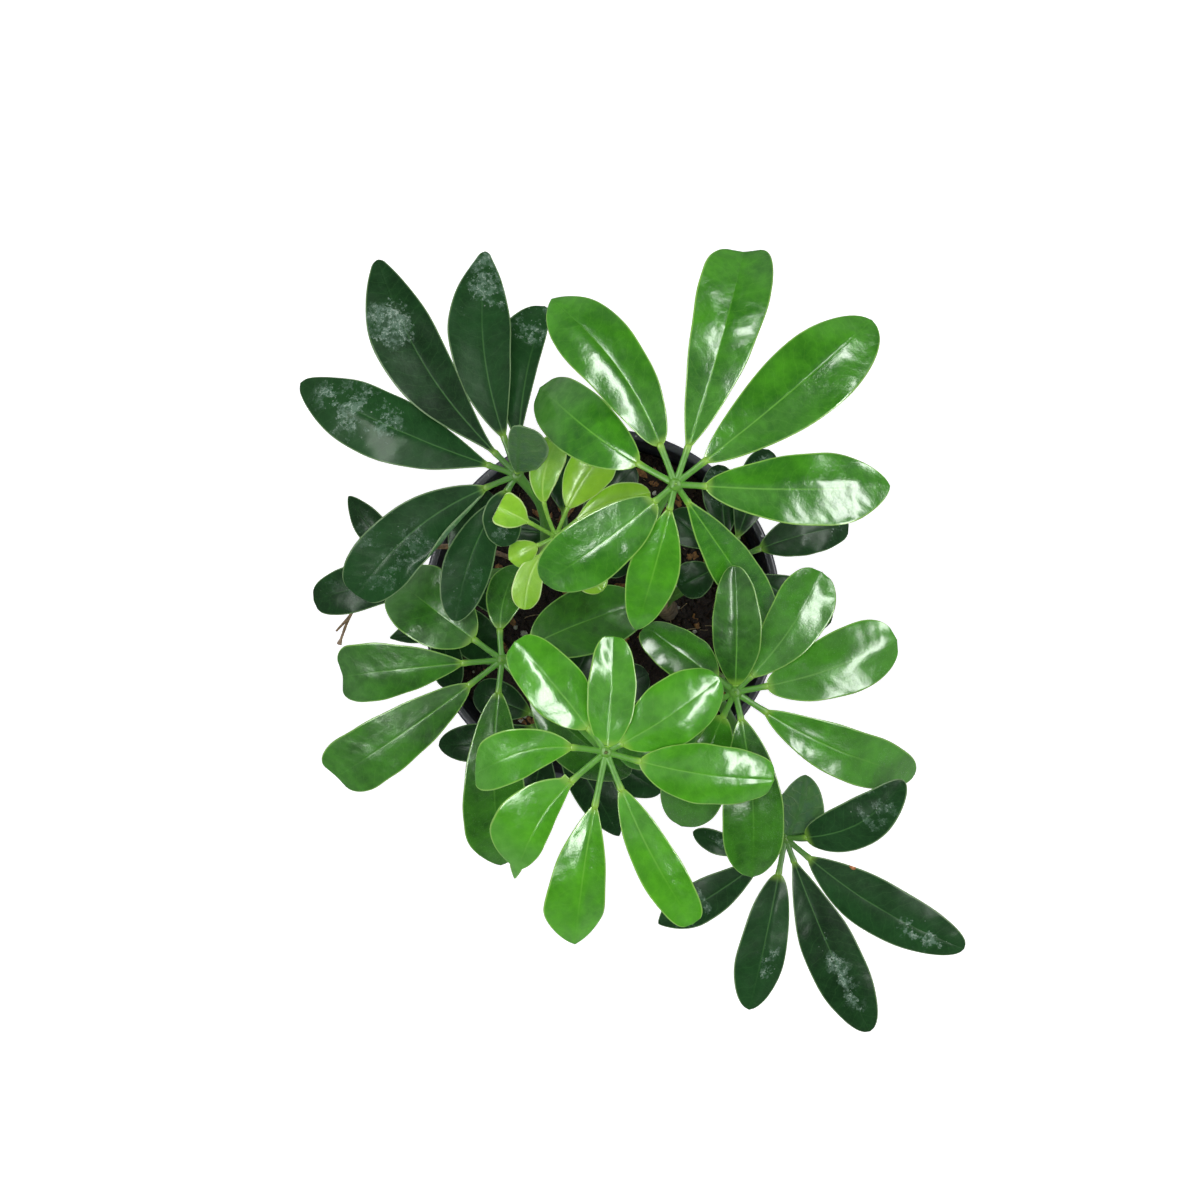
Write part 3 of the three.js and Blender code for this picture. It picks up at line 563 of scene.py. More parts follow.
def rib_frame(shape, hub, shares, turn=0.0):
    """Centre, along, across and upward at each share of the rib, rolled and turned by the given degrees"""
    reachable = np.clip(shares, 0, 1)
    ahead = rib_points(shape, hub, np.clip(reachable + 0.01, 0, 1))
    behind = rib_points(shape, hub, np.clip(reachable - 0.01, 0, 1))
    along = unit(ahead - behind)
    az = math.radians(shape["az"])
    left = np.array([-math.sin(az), math.cos(az), 0.0])
    across = unit(left - along * (along @ left)[:, None])
    upward = np.cross(along, across)
    roll = np.radians(shape["roll"] + turn + 0 * reachable)[:, None]
    across = across * np.cos(roll) + upward * np.sin(roll)
    return rib_points(shape, hub, reachable), along, across, np.cross(along, across)


def outline(shape, u):
    """The blade's half width, as a share of its greatest, from base to tip"""
    widest = shape["widest"]
    along = np.minimum(u / (1 - shape["drip"]), 1)
    base = np.sin(math.pi / 2 * np.minimum(along / widest, 1)) ** shape["taper"]
    tip = np.cos(math.pi / 2 * np.clip((along - widest) / (1 - widest), 0, 1))
    return base * np.maximum(tip, 0) ** shape["blunt"]


def blade_rows(shape):
    """Shares along the blade, closer together towards its base and tip"""
    count = round(np.clip((shape["reach"] - shape["stalk"]) / ROW_LENGTH, FEWEST_ROWS, MOST_ROWS))
    even = np.linspace(0, 1, count)
    return 0.4 * even + 0.6 * (1 - np.cos(math.pi * even)) / 2


def half_widths(shape, u, length, rng):
    """Half of the blade's width at each row: its outline, joined to the stalk and closed by a round tip"""
    wavy = 1 + 0.012 * np.sin(2 * math.pi * (rng.uniform(2, 4) * u + rng.uniform()))
    half = np.hypot(shape["width"] / 2 * outline(shape, u) * wavy, STALK_RADIUS * 0.85 * (1 - u) ** 6)
    ahead = np.clip(length[-1] - length, 0.06, shape["tip"])
    half = np.hypot(half, np.sqrt(ahead * (2 * shape["tip"] - ahead)) * smooth_step(u, 0.5, 0.9))
    if shape["drip"]:
        half = np.maximum(half, DRIP_HALF_WIDTH * np.clip((1 - u) / shape["drip"], 0, 1) ** 0.7)
    return half


def half_section(shape, u, half, side, rng):
    """Half of the blade: distance from the rib, lift above it, slope and share across, by row and column"""
    v = np.linspace(0, 1, SECTION_STEPS + 1)
    full = smooth_step(u, 0.0, 0.25)[:, None]
    droop = math.radians(shape["hang"][2 if side > 0 else 3])
    slope = -droop * (0.9 * smooth_step(v, 0.0, 0.35) + 0.35 * v**2)[None] * (0.3 + 0.7 * full)
    slope = slope + shape["puff"] * math.pi / 2 * np.cos(math.pi * v)[None] * full
    waves = rng.uniform(2.0, 3.4) * u + rng.uniform()
    slope = slope + 0.1 * np.sin(2 * math.pi * waves)[:, None] * (v**2)[None] * full
    if shape["curl"] * side > 0:
        window = smooth_step(u, 0.0, 0.06) * (1 - smooth_step(u, 0.3, 0.85))
        slope = slope + 2.9 * shape["curl"] * window[:, None] * smooth_step(v, 0.66, 0.86)[None]
    step = half[:, None] / SECTION_STEPS
    middle = (slope[:, 1:] + slope[:, :-1]) / 2
    start = np.zeros((len(u), 1))
    reach = np.concatenate([start, np.cumsum(np.cos(middle) * step, 1)], 1)
    lift = np.concatenate([start, np.cumsum(np.sin(middle) * step, 1)], 1)
    scale = half[:, None] / reach.max(1, keepdims=True)
    columns = list(SECTION_COLUMNS)
    return reach[:, columns] * scale, lift[:, columns] * scale, slope[:, columns], v[columns]


def relief_of(down, span, u, v, seed):
    """Pillows between the side veins, and broad uneven folds"""
    inside = (smooth_step(u, 0.03, 0.2) * (1 - smooth_step(u, 0.88, 1)))[:, None] * (1 - v**6)[None]
    flat = np.stack([down, span], -1)
    turns = (down - VEIN_SLANT * np.abs(span)) / VEIN_SPACING + 0.5 * (span > 0)
    pillows = 0.05 * np.cos(2 * math.pi * turns + 1.3 * ripple(flat, 17, seed + 5))
    pillows = pillows * smooth_step(np.abs(span), 0.6, 2.6) * (0.7 + 0.5 * ripple(flat, 12, seed + 6))
    folds = 0.15 * ripple(flat, 16, seed + 7) + 0.045 * ripple(flat, 6.5, seed + 8)
    return (pillows + folds) * inside


def blade_form(shape, hub, seed):
    """The blade's upper and under side and its two rims, with each point's place on the blade"""
    rng = np.random.default_rng(seed)
    turn, twist, _, _ = shape["hang"]
    _, _, begin = rib_line(shape)
    u = blade_rows(shape)
    centre, along, across, upward = rib_frame(shape, hub, begin + (1 - begin) * u, turn + twist * (u - 0.5))
    length = np.concatenate([[0], np.cumsum(np.linalg.norm(np.diff(centre, axis=0), axis=1))])
    half = half_widths(shape, u, length, rng)

    right = half_section(shape, u, half * (1 - shape["lean"]), -1, rng)
    left = half_section(shape, u, half * (1 + shape["lean"]), 1, rng)
    v = np.concatenate([-right[3][:0:-1], left[3]])
    reach = np.concatenate([-right[0][:, :0:-1], left[0]], 1)
    lift = np.concatenate([right[1][:, :0:-1], left[1]], 1)
    slope = np.concatenate([-right[2][:, :0:-1], left[2]], 1)
    span = half[:, None] * v[None] * (1 + shape["lean"] * np.sign(v))[None]
    down = length[:, None] * np.ones_like(v)[None]

    relief = relief_of(down, span, u, v, seed)
    groove = 0.1 * bell(span, 0, 0.5) * (1 - 0.7 * u)[:, None]
    keel = 0.5 * bell(span, 0, 0.75) * (1 - 0.8 * u)[:, None]
    thin = BLADE_MIDDLE_THICKNESS - BLADE_EDGE_THICKNESS
    thickness = BLADE_EDGE_THICKNESS + thin * (1 - v**2)[None] * np.ones_like(u)[:, None]
    pull = -shape["notch"] * (u**8)[:, None] * bell(span, 0, 0.25 * shape["width"])
    pull = pull + shape["lobe"] * (u**5)[:, None] * span / (shape["width"] / 2)

    def surface(offset):
        side = reach - np.sin(slope) * offset
        rise = lift + np.cos(slope) * offset
        return (centre[:, None] + across[:, None] * side[..., None] + upward[:, None] * rise[..., None]
                + along[:, None] * pull[..., None])

    def rim(column, outward):
        """A rounded edge, a little outside the middle of the given column"""
        middle = (top[:, column] + under[:, column]) / 2
        return middle + outward * across * RIM_BULGE * np.cos(slope[:, column])[:, None]

    top = surface(thickness / 2 + relief - groove)
    under = surface(-thickness / 2 + relief - keel)
    return {"top": top, "under": under, "rims": (rim(-1, 1), rim(0, -1)), "u": u, "v": v, "half": half,
            "down": down, "span": span}


def dust_on(shape, u, v):
    """How much dried water marks the blade, from base to tip and across"""
    start, stop, across, spread = shape["patch"]
    along = smooth_step(u, start - 0.08, start + 0.04) * (1 - smooth_step(u, stop - 0.04, stop + 0.08))
    return shape["dust"] * along[:, None] * bell(v, across, spread)[None]


def wilt_on(shape, down, span):
    """How brown the blade is, round the middle of its wilted spot"""
    if not shape["wilt"]:
        return 0 * span
    spot_down, spot_span = shape["wilt"][0] * down[-1], shape["wilt"][1] * shape["width"] / 2
    return np.exp(-((down - spot_down) ** 2 / 1.7 + (span - spot_span) ** 2 / 0.8))


def add_blade(shells, shape, hub, seed, tone):
    form = blade_form(shape, hub, seed)
    u, v, down, span = form["u"], form["v"], form["down"], form["span"]
    left_rim, right_rim = (rim[:, None] for rim in form["rims"])
    rings = np.concatenate([form["top"], left_rim, form["under"][:, ::-1], right_rim], 1)

    def around(*fields):
        """One vector per point of the whole rings, from values for the points of the upper side"""
        fields = [field + 0 * span for field in fields]
        return np.stack([np.concatenate([f, f[:, -1:], f[:, ::-1], f[:, :1]], 1) for f in fields], -1)

    edge = np.minimum(form["half"][:, None] * (1 - np.abs(v))[None], down[-1] - down + 0.15)
    own_tone = np.random.default_rng(seed + 1).uniform(-TONE_SPREAD, TONE_SPREAD)
    # Painted sheen: a pale film growing towards the tip, in place of the bright room that steeply drooping
    # tips reflect. It rides in the second value of mark.
    fade = shape["fade"] * smooth_step(u, 0.45, 1)[:, None]
    shells.add_rings(
        rings, [UPPER_SIDE] * len(v) + [UNDER_SIDE] * (len(v) + 1) + [UPPER_SIDE],
        place=around(down, span, edge),
        trait=around(u[:, None], np.clip(tone + shape["tone"] + own_tone, 0, 1), dust_on(shape, u, v)),
        mark=around(wilt_on(shape, down, span), fade, shape["gloss"]))


def add_petiolule(shells, shape, hub, seed, radius):
    """The leaflet's own stalk, a little swollen at both ends, with a channel along its top"""
    _, _, begin = rib_line(shape)
    share = np.linspace(0, 1, STALK_ROWS)
    centre, _, across, upward = rib_frame(shape, hub, share * (begin + 0.012))
    swollen = 0.3 * bell(share, 0, 0.2) + 0.2 * bell(share, 0.93, 0.12) - 0.25 * bell(share, 1, 0.03)
    girth = radius * (1 + swollen)[:, None, None]
    turn = full_turn(STALK_SIDES)
    channel = 1 - 0.2 * bell(np.sin(turn), 1, 0.35)
    rings = centre[:, None] + girth * (
        across[:, None] * np.cos(turn)[None, :, None]
        + upward[:, None] * (np.sin(turn) * channel)[None, :, None])
    tone = np.random.default_rng(seed).uniform()
    shells.add_rings(rings, STALK_PART, trait=vectors_along(bell(share, 1, 0.16), tone, 0.0))


def stem_centre(name, height):
    line, _ = smooth_line(STEMS[name]["points"], CENTRE_STEPS)
    return line[np.argmin(np.abs(line[:, 2] - height))]


def add_petiole(shells, leaf, seed):
    foot = stem_centre(leaf["stem"], leaf["height"])
    line, walked = smooth_line([foot, *leaf["via"], leaf["hub"]], PETIOLE_ROWS)
    share = walked / walked[-1]
    radius = PETIOLE_BASE_RADIUS + (PETIOLE_TOP_RADIUS - PETIOLE_BASE_RADIUS) * share
    radius = radius + 1.1 * bell(walked, 2, 3.5) + 0.4 * bell(walked, walked[-1], 2.5)
    ridges = 1 + 0.02 * np.cos(5 * full_turn(PETIOLE_SIDES))[None] + 0.015 * ripple(line, 9, seed)[:, None]
    rings = tube_rings(line, radius[:, None] * ridges, PETIOLE_SIDES)
    brown = bell(walked, 0, 6)
    shells.add_rings(rings, STALK_PART, trait=vectors_along(0.25 * brown, 0.5, brown))


def add_ball(shells, centre, radii, seed, trait):
    """A slightly uneven ball at the hub"""
    ball = ball_rings(HUB_ROWS, HUB_SIDES, 0.02)
    ball = ball * (1 + 0.06 * ripple(ball, 0.9, seed))[..., None]
    shells.add_rings(np.array(centre) + ball * np.array(radii), STALK_PART, trait=trait)


def make_leaf(name, leaf, index):
    shells = Shells()
    hub = np.array(leaf["hub"], float)
    young = leaf["finish"] == "lime"
    radius = YOUNG_STALK_RADIUS if young else STALK_RADIUS
    size = HUB_RADIUS * (0.7 if young else 1.0)
    add_petiole(shells, leaf, SEED + index)
    add_ball(shells, hub, np.array([1, 1, 0.8]) * size, SEED + index, (0.05, 0.5, 0.15))
    add_ball(shells, hub + (0, 0, 0.8 * size), (0.55, 0.5, 0.5), SEED + index, (0.4, 0.5, leaf["bud"]))
    for count, shape in enumerate(leaf["leaflets"]):
        seed = SEED + 100 * index + 3 * count
        add_petiolule(shells, shape, hub, seed, radius)
        add_blade(shells, shape, hub, seed + 1, leaf["tone"])
    finish = leaf["finish"]
    piece = shells.make(f"{name}_fine", [UPPER[finish], UNDER[finish], STALK[finish]])
    return declare(piece, f"leaf_{finish}", name)


# Materials


class Tree:
    """A material's nodes, with short calls for the ones used here"""

    def __init__(self, name):
        self.material = bpy.data.materials.new(name)
        self.material.use_nodes = True
        self.nodes = self.material.node_tree.nodes
        self.links = self.material.node_tree.links
        self.shader = next(node for node in self.nodes if node.type == "BSDF_PRINCIPLED")

    def feed(self, socket, value):
        if isinstance(value, bpy.types.NodeSocket):
            self.links.new(value, socket)
        else:
            socket.default_value = value

    def add(self, kind, inputs, **settings):
        node = self.nodes.new("ShaderNode" + kind)
        for key, value in settings.items():
            setattr(node, key, value)
        for socket, value in inputs.items():
            self.feed(node.inputs[socket], value)
        return node

    def set(self, **inputs):
        for name, value in inputs.items():
            self.feed(self.shader.inputs[name.replace("_", " ")], value)

    def finish(self, base, rough, height, depth, **more):
        """The material. depth is how high a height of 1 stands out, in metres."""
        normal = self.add("Bump", {"Height": height, "Distance": depth}).outputs[0]
        self.set(Base_Color=base, Roughness=rough, Normal=normal, **more)
        return self.material

    def vector(self, name):
        node = self.add("Attribute", {}, attribute_name=name, attribute_type="GEOMETRY")
        return self.split(node.outputs["Vector"])

    def split(self, vector):
        node = self.add("SeparateXYZ", {0: vector})
        return node.outputs[0], node.outputs[1], node.outputs[2]

    def join(self, x, y, z):
        return self.add("CombineXYZ", {0: x, 1: y, 2: z}).outputs[0]

    def spot(self):
        """Where the point is in the object, in metres"""
        return self.add("TexCoord", {}).outputs["Object"]

    def math(self, operation, a, b=0.0):
        return self.add("Math", {0: a, 1: b}, operation=operation).outputs[0]

    def chain(self, operation, first, *rest):
        for value in rest:
            first = self.math(operation, first, value)
        return first

    def plus(self, *terms):
        return self.chain("ADD", *terms)

    def times(self, *factors):
        return self.chain("MULTIPLY", *factors)

    def rest(self, share):
        """What is missing to 1"""
        return self.math("SUBTRACT", 1.0, share)

    def band(self, value, low, high, start=0.0, end=1.0):
        """From start at low to end at high, with smooth turns"""
        inputs = {0: value, 1: low, 2: high, 3: start, 4: end}
        return self.add("MapRange", inputs, interpolation_type="SMOOTHSTEP").outputs[0]

    def cover(self, base, *layers):
        """The base colour under layers, each with its amount from 0 to 1 and its colour"""
        for amount, tint in layers:
            base = self.add("Mix", {0: amount, 6: base, 7: tint}, data_type="RGBA").outputs[2]
        return base

    def noise(self, vector, scale, detail=3.0, roughness=0.55):
        inputs = {"Vector": vector, "Scale": scale, "Detail": detail, "Roughness": roughness}
        return self.add("TexNoise", inputs).outputs[0]

    def cells(self, vector, scale, feature="F1"):
        node = self.add("TexVoronoi", {"Vector": vector, "Scale": scale}, feature=feature)
        return node.outputs["Distance"]


def colour(red, green, blue):
    """A shader colour from the 0 to 255 values that a screen shows"""
    def linear(value):
        share = value / 255
        return share / 12.92 if share <= 0.04045 else ((share + 0.055) / 1.055) ** 2.4

    return (linear(red), linear(green), linear(blue), 1.0)


# Each finish has the screen colours of its blades and stalks, how rough and how reflecting its blades are,
# how much of the dried water shows, and how strong and how rough their waxy coat is
FINISHES = {
    "dark": {
        "deep": colour(11, 36, 16), "light": colour(42, 90, 44), "vein": colour(72, 122, 62),
        "margin": colour(124, 158, 106), "joint": colour(122, 168, 58), "stalk": colour(84, 138, 54),
        "under": colour(74, 112, 80),
        "rough": 0.42, "gleam": 0.06, "dust": 1.0, "coat": 0.17, "coat_rough": 0.25,
    },
    "mid": {
        "deep": colour(14, 58, 11), "light": colour(86, 172, 42), "vein": colour(104, 172, 62),
        "margin": colour(142, 194, 90), "joint": colour(132, 182, 60), "stalk": colour(86, 148, 50),
        "under": colour(92, 138, 84),
        "rough": 0.26, "gleam": 0.42, "dust": 0.3, "coat": 0.5, "coat_rough": 0.17,
    },
    "bright": {
        "deep": colour(20, 88, 12), "light": colour(100, 196, 38), "vein": colour(118, 194, 62),
        "margin": colour(160, 214, 96), "joint": colour(150, 202, 70), "stalk": colour(92, 160, 50),
        "under": colour(108, 158, 90),
        "rough": 0.24, "gleam": 0.45, "dust": 0.1, "coat": 0.55, "coat_rough": 0.15,
    },
    "lime": {
        "deep": colour(100, 176, 28), "light": colour(184, 236, 70), "vein": colour(192, 232, 112),
        "margin": colour(220, 242, 164), "joint": colour(160, 208, 76), "stalk": colour(120, 180, 58),
        "under": colour(150, 196, 88),
        "rough": 0.3, "gleam": 0.36, "dust": 0.0, "coat": 0.3, "coat_rough": 0.18,
    },
}
DUST_FILM = colour(128, 158, 140)
DUST_FLECK = colour(188, 206, 192)
WILT_RING = colour(170, 104, 62)
WILT_CORE = colour(216, 160, 116)


def vein_lines(tree, down, span):
    """1 on the side veins that leave the rib at a slant, and 0 between them"""
    outward = tree.math("ABSOLUTE", span)
    shift = tree.times(tree.math("GREATER_THAN", span, 0.0), 0.5)
    wander = tree.noise(tree.join(down, span, 0.0), 0.16, 2.0)
    turns = tree.math("DIVIDE", tree.math("SUBTRACT", down, tree.times(outward, VEIN_SLANT)), VEIN_SPACING)
    turns = tree.plus(turns, shift, tree.times(wander, 1.4))
    away = tree.math("ABSOLUTE", tree.math("SUBTRACT", tree.math("FRACT", turns), 0.5))
    return tree.band(away, 0.0, 0.07, 1.0, 0.0)


def dried_water(tree, flat, dusty):
    """Where a thin film of dried water lies, and where its pale crackled lines are: both from 0 to 1"""
    ragged = tree.noise(flat, 0.09, 5.0, 0.75)
    cloud = tree.band(tree.plus(ragged, tree.times(dusty, 0.13)), 0.57, 0.62)
    mottle = tree.noise(flat, 0.5, 4.0, 0.7)
    film = tree.times(cloud, dusty, tree.band(mottle, 0.4, 0.56, 0.2, 1.0))
    crackle = tree.math("ABSOLUTE", tree.math("SUBTRACT", tree.noise(flat, 0.3, 4.0, 0.65), 0.5))
    lines = tree.times(tree.band(crackle, 0.004, 0.022, 1.0, 0.0), tree.band(mottle, 0.46, 0.56))
    dots = tree.band(tree.cells(flat, 0.42), 0.07, 0.12, 1.0, 0.0)
    some = tree.band(tree.noise(flat, 0.37, 2.0), 0.52, 0.56)
    flecks = tree.math("MAXIMUM", tree.times(cloud, lines, dusty), tree.times(dots, some, dusty, 0.8))
    return film, flecks


def upper_material(finish):
    look = FINISHES[finish]
    tree = Tree(f"leaf_{finish}_upper")
    down, span, edge = tree.vector("place")
    share, tone, dusty = tree.vector("trait")
    # mark holds the brown spot, the painted sheen on the tip and the gloss
    brown, pale, gloss = tree.vector("mark")
    flat = tree.join(down, span, tree.times(tone, 90.0))
    outward = tree.math("ABSOLUTE", span)

    broad = tree.band(tree.noise(flat, 0.06, 3.0), 0.32, 0.68)
    small = tree.band(tree.noise(flat, 0.3, 4.0, 0.6), 0.3, 0.7)
    lines = vein_lines(tree, down, span)
    net = tree.cells(flat, 0.5, "DISTANCE_TO_EDGE")
    film, flecks = dried_water(tree, flat, dusty)
    film = tree.times(film, 0.6 * look["dust"])
    flecks = tree.times(flecks, 0.85 * look["dust"])
    shade = tree.plus(tree.times(broad, 0.26), tree.times(small, 0.18), tree.times(tone, 0.5), 0.04)
    base = tree.cover(
        look["deep"],
        (shade, look["light"]),
        (tree.times(lines, 0.12), look["vein"]),
        (tree.band(net, 0.0, 0.06, 0.08, 0.0), look["vein"]),
        (tree.times(tree.band(outward, 0.08, 0.32, 1.0, 0.0), tree.band(share, 0.25, 0.9, 0.7, 0.05)),
         look["vein"]),
        # Painted sheen on the tip half: the underside colour laid on as a pale greyish film instead of
        # reflected light
        (tree.times(pale, tree.band(small, 0.0, 1.0, 0.35, 0.6)), look["under"]),
        # Lighter along the rim: partly the blade's own pale margin and partly a painted highlight for light
        # caught by the thin edge
        (tree.band(edge, 0.12, 0.42, 0.75, 0.0), look["margin"]),
        (tree.band(down, 0.2, 3.0, 0.8, 0.0), look["joint"]),
        (film, DUST_FILM),
        (flecks, DUST_FLECK),
        (tree.band(brown, 0.35, 0.6), WILT_RING),
        (tree.band(brown, 0.75, 0.95), WILT_CORE))

    grain = tree.noise(flat, 2.4, 3.0)
    crinkle = tree.noise(flat, 0.62, 3.0, 0.6)
    rough = tree.plus(tree.times(grain, 0.1), tree.times(film, 0.3), tree.times(flecks, 0.4),
                      tree.times(tree.rest(gloss), 0.1), look["rough"] - 0.05)
    height = tree.plus(crinkle, tree.times(grain, 0.12), tree.times(lines, -0.05),
                       tree.band(outward, 0.1, 0.4, -0.3, 0.0))
    coat = tree.times(tree.rest(tree.math("MAXIMUM", film, flecks)), gloss, look["coat"])
    return tree.finish(base, rough, height, 0.00012, Specular_IOR_Level=look["gleam"],
                       Coat_Weight=coat, Coat_Roughness=look["coat_rough"])


def under_material(finish):
    look = FINISHES[finish]
    tree = Tree(f"leaf_{finish}_under")
    down, span, edge = tree.vector("place")
    share, tone, _ = tree.vector("trait")
    flat = tree.join(down, span, tree.times(tone, 70.0))
    lines = vein_lines(tree, down, span)
    grain = tree.noise(flat, 2.2, 3.0)
    base = tree.cover(
        look["under"],
        (tree.band(tree.noise(flat, 0.16, 5.0, 0.65), 0.35, 0.65, 0.0, 0.5), look["stalk"]),
        (tree.band(tree.noise(flat, 0.5, 4.0, 0.7), 0.5, 0.68, 0.0, 0.3), look["margin"]),
        (tree.times(lines, 0.35), look["margin"]),
        (tree.band(tree.cells(flat, 0.55, "DISTANCE_TO_EDGE"), 0.0, 0.08, 0.2, 0.0), look["vein"]),
        (tree.band(tree.math("ABSOLUTE", span), 0.3, 0.9, 0.7, 0.0), look["vein"]),
        (tree.band(edge, 0.1, 0.5, 0.8, 0.0), look["margin"]),
        (tree.band(share, 0.0, 0.06, 0.8, 0.0), look["joint"]),
        (tree.band(tree.cells(flat, 0.5), 0.06, 0.12, 0.5, 0.0), look["deep"]))
    rough = tree.band(grain, 0.2, 0.8, 0.36, 0.52)
    height = tree.plus(tree.times(lines, 0.6), tree.times(grain, 0.4), tree.noise(flat, 0.5, 4.0, 0.65))
    return tree.finish(base, rough, height, 0.00025, Specular_IOR_Level=0.3)


def stalk_material(finish):
    look = FINISHES[finish]
    tree = Tree(f"leaf_{finish}_stalk")
    joint, tone, brown = tree.vector("trait")
    spot = tree.spot()
    streak = tree.noise(spot, 700.0, 3.0)
    base = tree.cover(
        look["stalk"],
        (tree.times(tree.band(streak, 0.3, 0.75), tree.plus(tree.times(tone, 0.3), 0.15)), look["vein"]),
        (joint, look["joint"]),
        (tree.times(brown, 0.8), colour(84, 66, 34)),
        (tree.band(tree.cells(spot, 1500.0), 0.1, 0.2, 0.2, 0.0), look["margin"]))
    rough = tree.band(streak, 0.2, 0.8, 0.32, 0.46)
    return tree.finish(base, rough, streak, 0.00008, Specular_IOR_Level=0.3)


def bark_material():
    tree = Tree("bark")
    young, ring, _ = tree.vector("trait")
    spot = tree.spot()
    stretched = tree.add("Mapping", {"Vector": spot, "Scale": (1.0, 1.0, 0.2)}).outputs[0]
    cracks = tree.noise(stretched, 900.0, 5.0, 0.65)
    lenticels = tree.band(tree.cells(stretched, 620.0), 0.08, 0.2, 0.6, 0.0)
    base = tree.cover(
        colour(92, 74, 48),
        (tree.band(cracks, 0.3, 0.7), colour(168, 144, 104)),
        (tree.band(tree.noise(spot, 160.0, 3.0), 0.42, 0.62, 0.0, 0.5), colour(150, 138, 112)),
        (tree.times(young, tree.band(cracks, 0.2, 0.8, 1.0, 0.7)), colour(82, 116, 50)),
        (lenticels, colour(186, 168, 130)),
        (ring, colour(70, 54, 36)))
    height = tree.plus(cracks, tree.times(lenticels, 0.6))
    return tree.finish(base, tree.band(cracks, 0.2, 0.8, 0.62, 0.85), height, 0.0003)


def dry_material():
    tree = Tree("dry_stalk")
    spot = tree.spot()
    grain = tree.noise(spot, 800.0, 5.0, 0.65)
    base = tree.cover(
        colour(96, 70, 46),
        (tree.band(grain, 0.3, 0.7), colour(166, 132, 96)),
        (tree.band(tree.noise(spot, 120.0, 2.0), 0.5, 0.7, 0.0, 0.4), colour(180, 158, 128)))
    return tree.finish(base, tree.band(grain, 0.2, 0.8, 0.6, 0.85), grain, 0.0003)


def pot_material():
    tree = Tree("pot_plastic")
    spot = tree.spot()
    _, _, level = tree.split(spot)
    cloudy = tree.noise(spot, 45.0, 4.0, 0.6)
    near_rim = tree.band(level, (POT_HEIGHT - 2 * COLLAR_HEIGHT) * MM, POT_HEIGHT * MM, 0.12, 1.0)
    some = tree.band(tree.noise(spot, 260.0, 2.0), 0.46, 0.54)
    specks = tree.times(tree.band(tree.cells(spot, 300.0), 0.08, 0.18, 1.0, 0.0), near_rim, some)
    base = tree.cover(
        colour(36, 39, 50),
        (tree.band(cloudy, 0.3, 0.7), colour(60, 64, 78)),
        (tree.band(tree.noise(spot, 90.0, 5.0, 0.7), 0.5, 0.75, 0.0, 0.2), colour(90, 94, 102)),
        (tree.times(specks, 0.8), colour(206, 208, 214)))
    rough = tree.plus(tree.band(cloudy, 0.3, 0.7, 0.34, 0.48), tree.times(specks, 0.3))
    height = tree.plus(tree.times(tree.noise(spot, 2600.0, 2.0), 0.3), specks)
    return tree.finish(base, rough, height, 0.0001)


def soil_material(name, dark, light, pale, fleck_share):
    """Crumbly stuff whose pieces differ by their own tone"""
    tree = Tree(name)
    _, tone, _ = tree.vector("trait")
    spot = tree.spot()
    grain = tree.noise(spot, 900.0, 6.0, 0.7)
    base = tree.cover(
        dark,
        (tree.band(grain, 0.35, 0.7), light),
        (tree.times(tone, 0.6), light),
        (tree.band(tree.noise(spot, 1500.0, 2.0), 0.64, 0.72, 0.0, fleck_share), pale))
    return tree.finish(base, tree.band(grain, 0.2, 0.8, 0.75, 0.95), grain, 0.0006, Specular_IOR_Level=0.15)


# Stems


def make_stem(name, index):
    radius = STEMS[name]["radius"]
    line, walked = smooth_line(STEMS[name]["points"], STEM_ROWS)
    share = walked / walked[-1]
    rng = np.random.default_rng(SEED + index)
    rings_at = np.cumsum(rng.uniform(7, 13, 18))
    scars = sum(bell(walked, place, 0.7) for place in rings_at)
    swells = sum(bell(walked, place, 2.6) for place in rings_at)
    tip = np.clip((share - 0.95) / 0.05, 0, 1)
    girth = radius * (1 - 0.35 * share) * np.sqrt(1 - 0.97 * tip**2) * (1 + 0.05 * swells + 0.035 * scars)
    turn = full_turn(STEM_SIDES)
    around = np.stack([np.cos(turn), np.sin(turn)], -1)
    grid = np.concatenate([
        np.broadcast_to(around[None] * 3, (STEM_ROWS, STEM_SIDES, 2)),
        np.broadcast_to(walked[:, None, None] * 0.35, (STEM_ROWS, STEM_SIDES, 1)),
    ], -1)
    rough = 1 + 0.025 * ripple(grid, 1.6, SEED + index) + 0.015 * ripple(grid, 0.7, SEED + 50 + index)
    shells = Shells()
    shells.add_rings(
        tube_rings(line, girth[:, None] * rough, STEM_SIDES),
        trait=vectors_along(smooth_step(share, 0.55, 0.95) * 0.85, np.clip(scars, 0, 1) * 0.7, 0.0))
    top = line[-1]
    for count in range(BUD_COUNT):
        az = math.radians(360 / BUD_COUNT * count + 40 * index)
        lean = np.array([math.cos(az), math.sin(az), 0.0])
        bud = [top - (0, 0, 4), top + lean * 0.9 + (0, 0, 1), top + lean * 1.4 + (0, 0, 5 + count)]
        path, gone = smooth_line(bud, BUD_ROWS)
        size = 1.3 * np.sqrt(np.clip(1 - (gone / gone[-1]) ** 2, 0.002, 1))
        shells.add_rings(tube_rings(path, size, BUD_SIDES), trait=(0.9, 0, 0))
    return declare(shells.make(f"{name}_fine", [BARK]), "bark", name)


